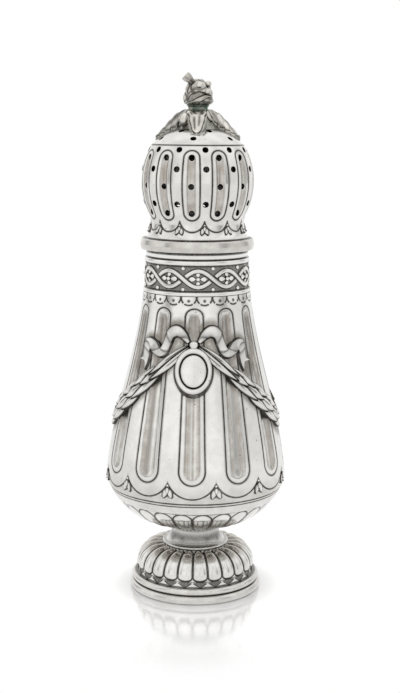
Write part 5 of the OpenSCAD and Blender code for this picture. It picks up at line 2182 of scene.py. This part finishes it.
@dataclass
class Studio:
    """Camera, floor and light."""

    focal_px: float = 1260.0
    image_px: tuple[int, int] = (400, 693)
    pitch_deg: float = 9.78
    roll_deg: float = 0.4
    distance_mm: float = 482.8
    height_mm: float = 179.2
    azimuth_deg: float = 2.2
    aside_mm: float = 1.35
    floor_m: float = 6.0

    def build(self) -> None:
        """Sets up the studio."""
        self._camera()
        self._floor()
        self._world()
        self._lamps()
        bpy.context.scene.view_settings.view_transform = "Standard"

    def _camera(self) -> None:
        """Places the camera as the photograph was taken."""
        data = bpy.data.cameras.new("camera")
        data.sensor_width = 36.0
        data.lens = self.focal_px / max(self.image_px) * data.sensor_width
        camera = placed("camera", data)
        turn = math.radians(self.azimuth_deg)
        right = Vector((math.cos(turn), math.sin(turn), 0.0))
        away = Vector((math.sin(turn), -math.cos(turn), 0.0))
        spot = away * self.distance_mm + right * self.aside_mm + Vector((0.0, 0.0, self.height_mm))
        look = Matrix.Rotation(turn, 4, "Z") @ Matrix.Rotation(math.radians(90.0 - self.pitch_deg), 4, "X")
        roll = Matrix.Rotation(math.radians(self.roll_deg), 4, "Z")
        camera.matrix_world = Matrix.Translation(spot * MM) @ look @ roll
        bpy.context.scene.camera = camera

    def _floor(self) -> None:
        """Lays a pale floor that turns to plain white away from the caster."""
        mesh = bpy.data.meshes.new("floor")
        half = self.floor_m / 2
        corners = [(-half, -half, 0), (half, -half, 0), (half, half, 0), (-half, half, 0)]
        mesh.from_pydata(corners, [], [(0, 1, 2, 3)])
        floor = placed("floor", mesh)
        material = bpy.data.materials.new("pale_floor")
        material.use_nodes = True
        graph = Graph(material.node_tree)
        place = graph.add("ShaderNodeTexCoord").outputs["Object"]
        away = graph.add("ShaderNodeVectorMath", {0: place}, operation="LENGTH").outputs["Value"]
        path = graph.add("ShaderNodeLightPath").outputs
        plain = graph.math("MAXIMUM", path["Is Camera Ray"], path["Is Glossy Ray"])
        far = graph.ramp(away, 0.040, 0.095, 0.0, 1.0) * plain
        far = graph.math("MAXIMUM", far, graph.math("MULTIPLY", path["Is Glossy Ray"], 0.88))
        sheet = graph.add("ShaderNodeBsdfDiffuse", {"Color": (0.70, 0.70, 0.70)})
        gloss = graph.add("ShaderNodeBsdfGlossy", {"Color": WHITE, "Roughness": 0.13})
        shine = graph.add("ShaderNodeMixShader", {0: 0.48, 1: sheet.outputs[0], 2: gloss.outputs[0]})
        # The floor's glow fades away close to the foot, which leaves a painted contact shadow round it.
        strength = graph.ramp(away, 0.025, 0.037, 0.0, 0.19)
        glow = graph.add("ShaderNodeEmission", {"Color": WHITE, "Strength": strength})
        paper = graph.add("ShaderNodeAddShader", {0: shine.outputs[0], 1: glow.outputs[0]})
        white = graph.add("ShaderNodeEmission", {"Color": WHITE, "Strength": 1.0})
        mixed = graph.add("ShaderNodeMixShader", {0: far, 1: paper.outputs[0], 2: white.outputs[0]})
        graph.add("ShaderNodeOutputMaterial", {"Surface": mixed.outputs[0]})
        mesh.materials.append(material)
        floor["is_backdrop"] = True

    def _world(self) -> None:
        """Sets a white surround for the camera and a soft tent of light and shade for everything else."""
        world = bpy.data.worlds.new("tent")
        world.use_nodes = True
        bpy.context.scene.world = world
        graph = Graph(world.node_tree)
        way = graph.add("ShaderNodeTexCoord").outputs["Generated"]
        parts = graph.add("ShaderNodeSeparateXYZ", {0: way}).outputs
        turn = graph.math("ARCTAN2", parts["X"], graph.math("MULTIPLY", parts["Y"], -1.0))
        ramp = graph.add("ShaderNodeValToRGB", {"Fac": turn / (2 * math.pi) + 0.5})
        stops = (
            (0.0, 1.0), (0.12, 0.98), (0.167, 0.34), (0.21, 0.96), (0.29, 1.0), (0.333, 0.34),
            (0.375, 0.97), (0.46, 1.0), (0.50, 0.90), (0.54, 1.0), (0.625, 0.97), (0.667, 0.30),
            (0.71, 0.95), (0.79, 0.92), (0.833, 0.34), (0.88, 0.95), (1.0, 1.0),
        )
        ramp.color_ramp.interpolation = "EASE"
        while len(ramp.color_ramp.elements) < len(stops):
            ramp.color_ramp.elements.new(0.5)
        for element, (at, level) in zip(ramp.color_ramp.elements, stops):
            element.position = at
            element.color = (level, level, level * 0.985, 1.0)
        lift = graph.ramp(parts["Z"], -0.1, 0.75, 0.0, 0.75)
        tent = graph.blend(lift, ramp.outputs["Color"], (1.0, 1.0, 1.0))
        patches = graph.noise(way, 1.7, 2.0)
        tent = graph.blend(graph.ramp(patches, 0.40, 0.68, 0.0, 0.26), tent, (0.42, 0.42, 0.43))
        path = graph.add("ShaderNodeLightPath").outputs
        soft = graph.add("ShaderNodeBackground", {"Color": tent, "Strength": 1.16})
        plain = graph.add("ShaderNodeBackground", {"Color": WHITE, "Strength": 1.0})
        mixed = graph.add("ShaderNodeMixShader", {0: path["Is Camera Ray"], 1: soft.outputs[0], 2: plain.outputs[0]})
        graph.add("ShaderNodeOutputWorld", {"Surface": mixed.outputs[0]})

    def _lamps(self) -> None:
        """Hangs three soft lamps."""
        lamps = (
            ("key", (-0.65, -0.60, 0.75), 1.0, 3.0),
            ("fill", (0.75, -0.50, 0.55), 0.9, 1.6),
            ("top", (0.05, 0.25, 1.00), 1.0, 2.5),
        )
        for name, spot, size, power in lamps:
            data = bpy.data.lights.new(name, "AREA")
            data.shape = "DISK"
            data.size = size
            data.energy = power
            lamp = placed(name, data)
            lamp.visible_glossy = False
            aim = Vector((0.0, 0.0, 0.1)) - Vector(spot)
            lamp.matrix_world = Matrix.Translation(spot) @ aim.to_track_quat("-Z", "Y").to_matrix().to_4x4()


def keep_sizes() -> None:
    """Works out the boxes of the solids and of the dressed caster side by side."""
    boxes = {"cad": CAD_BOX, "visual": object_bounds()}
    plain = {key: [[float(number) for number in corner] for corner in box] for key, box in boxes.items()}


def main() -> None:
    """Builds the caster from the foot upwards, then the studio."""
    logging.basicConfig(level=logging.INFO, format="%(name)s %(message)s")
    shop = Workshop(Finishes())
    motifs = Motifs(shop)
    Foot(shop).build()
    lines = OrnamentLines()
    vase = Vase(shop, motifs, lines)
    vase.build()
    Neck(shop, motifs).build()
    for side in Side:
        Ornament(shop, motifs, vase.surface, side, lines).build()
    Cap(shop, motifs).build()
    Finial(shop, motifs).build()
    Studio().build()
    keep_sizes()


if __name__ == "__main__":
    main()
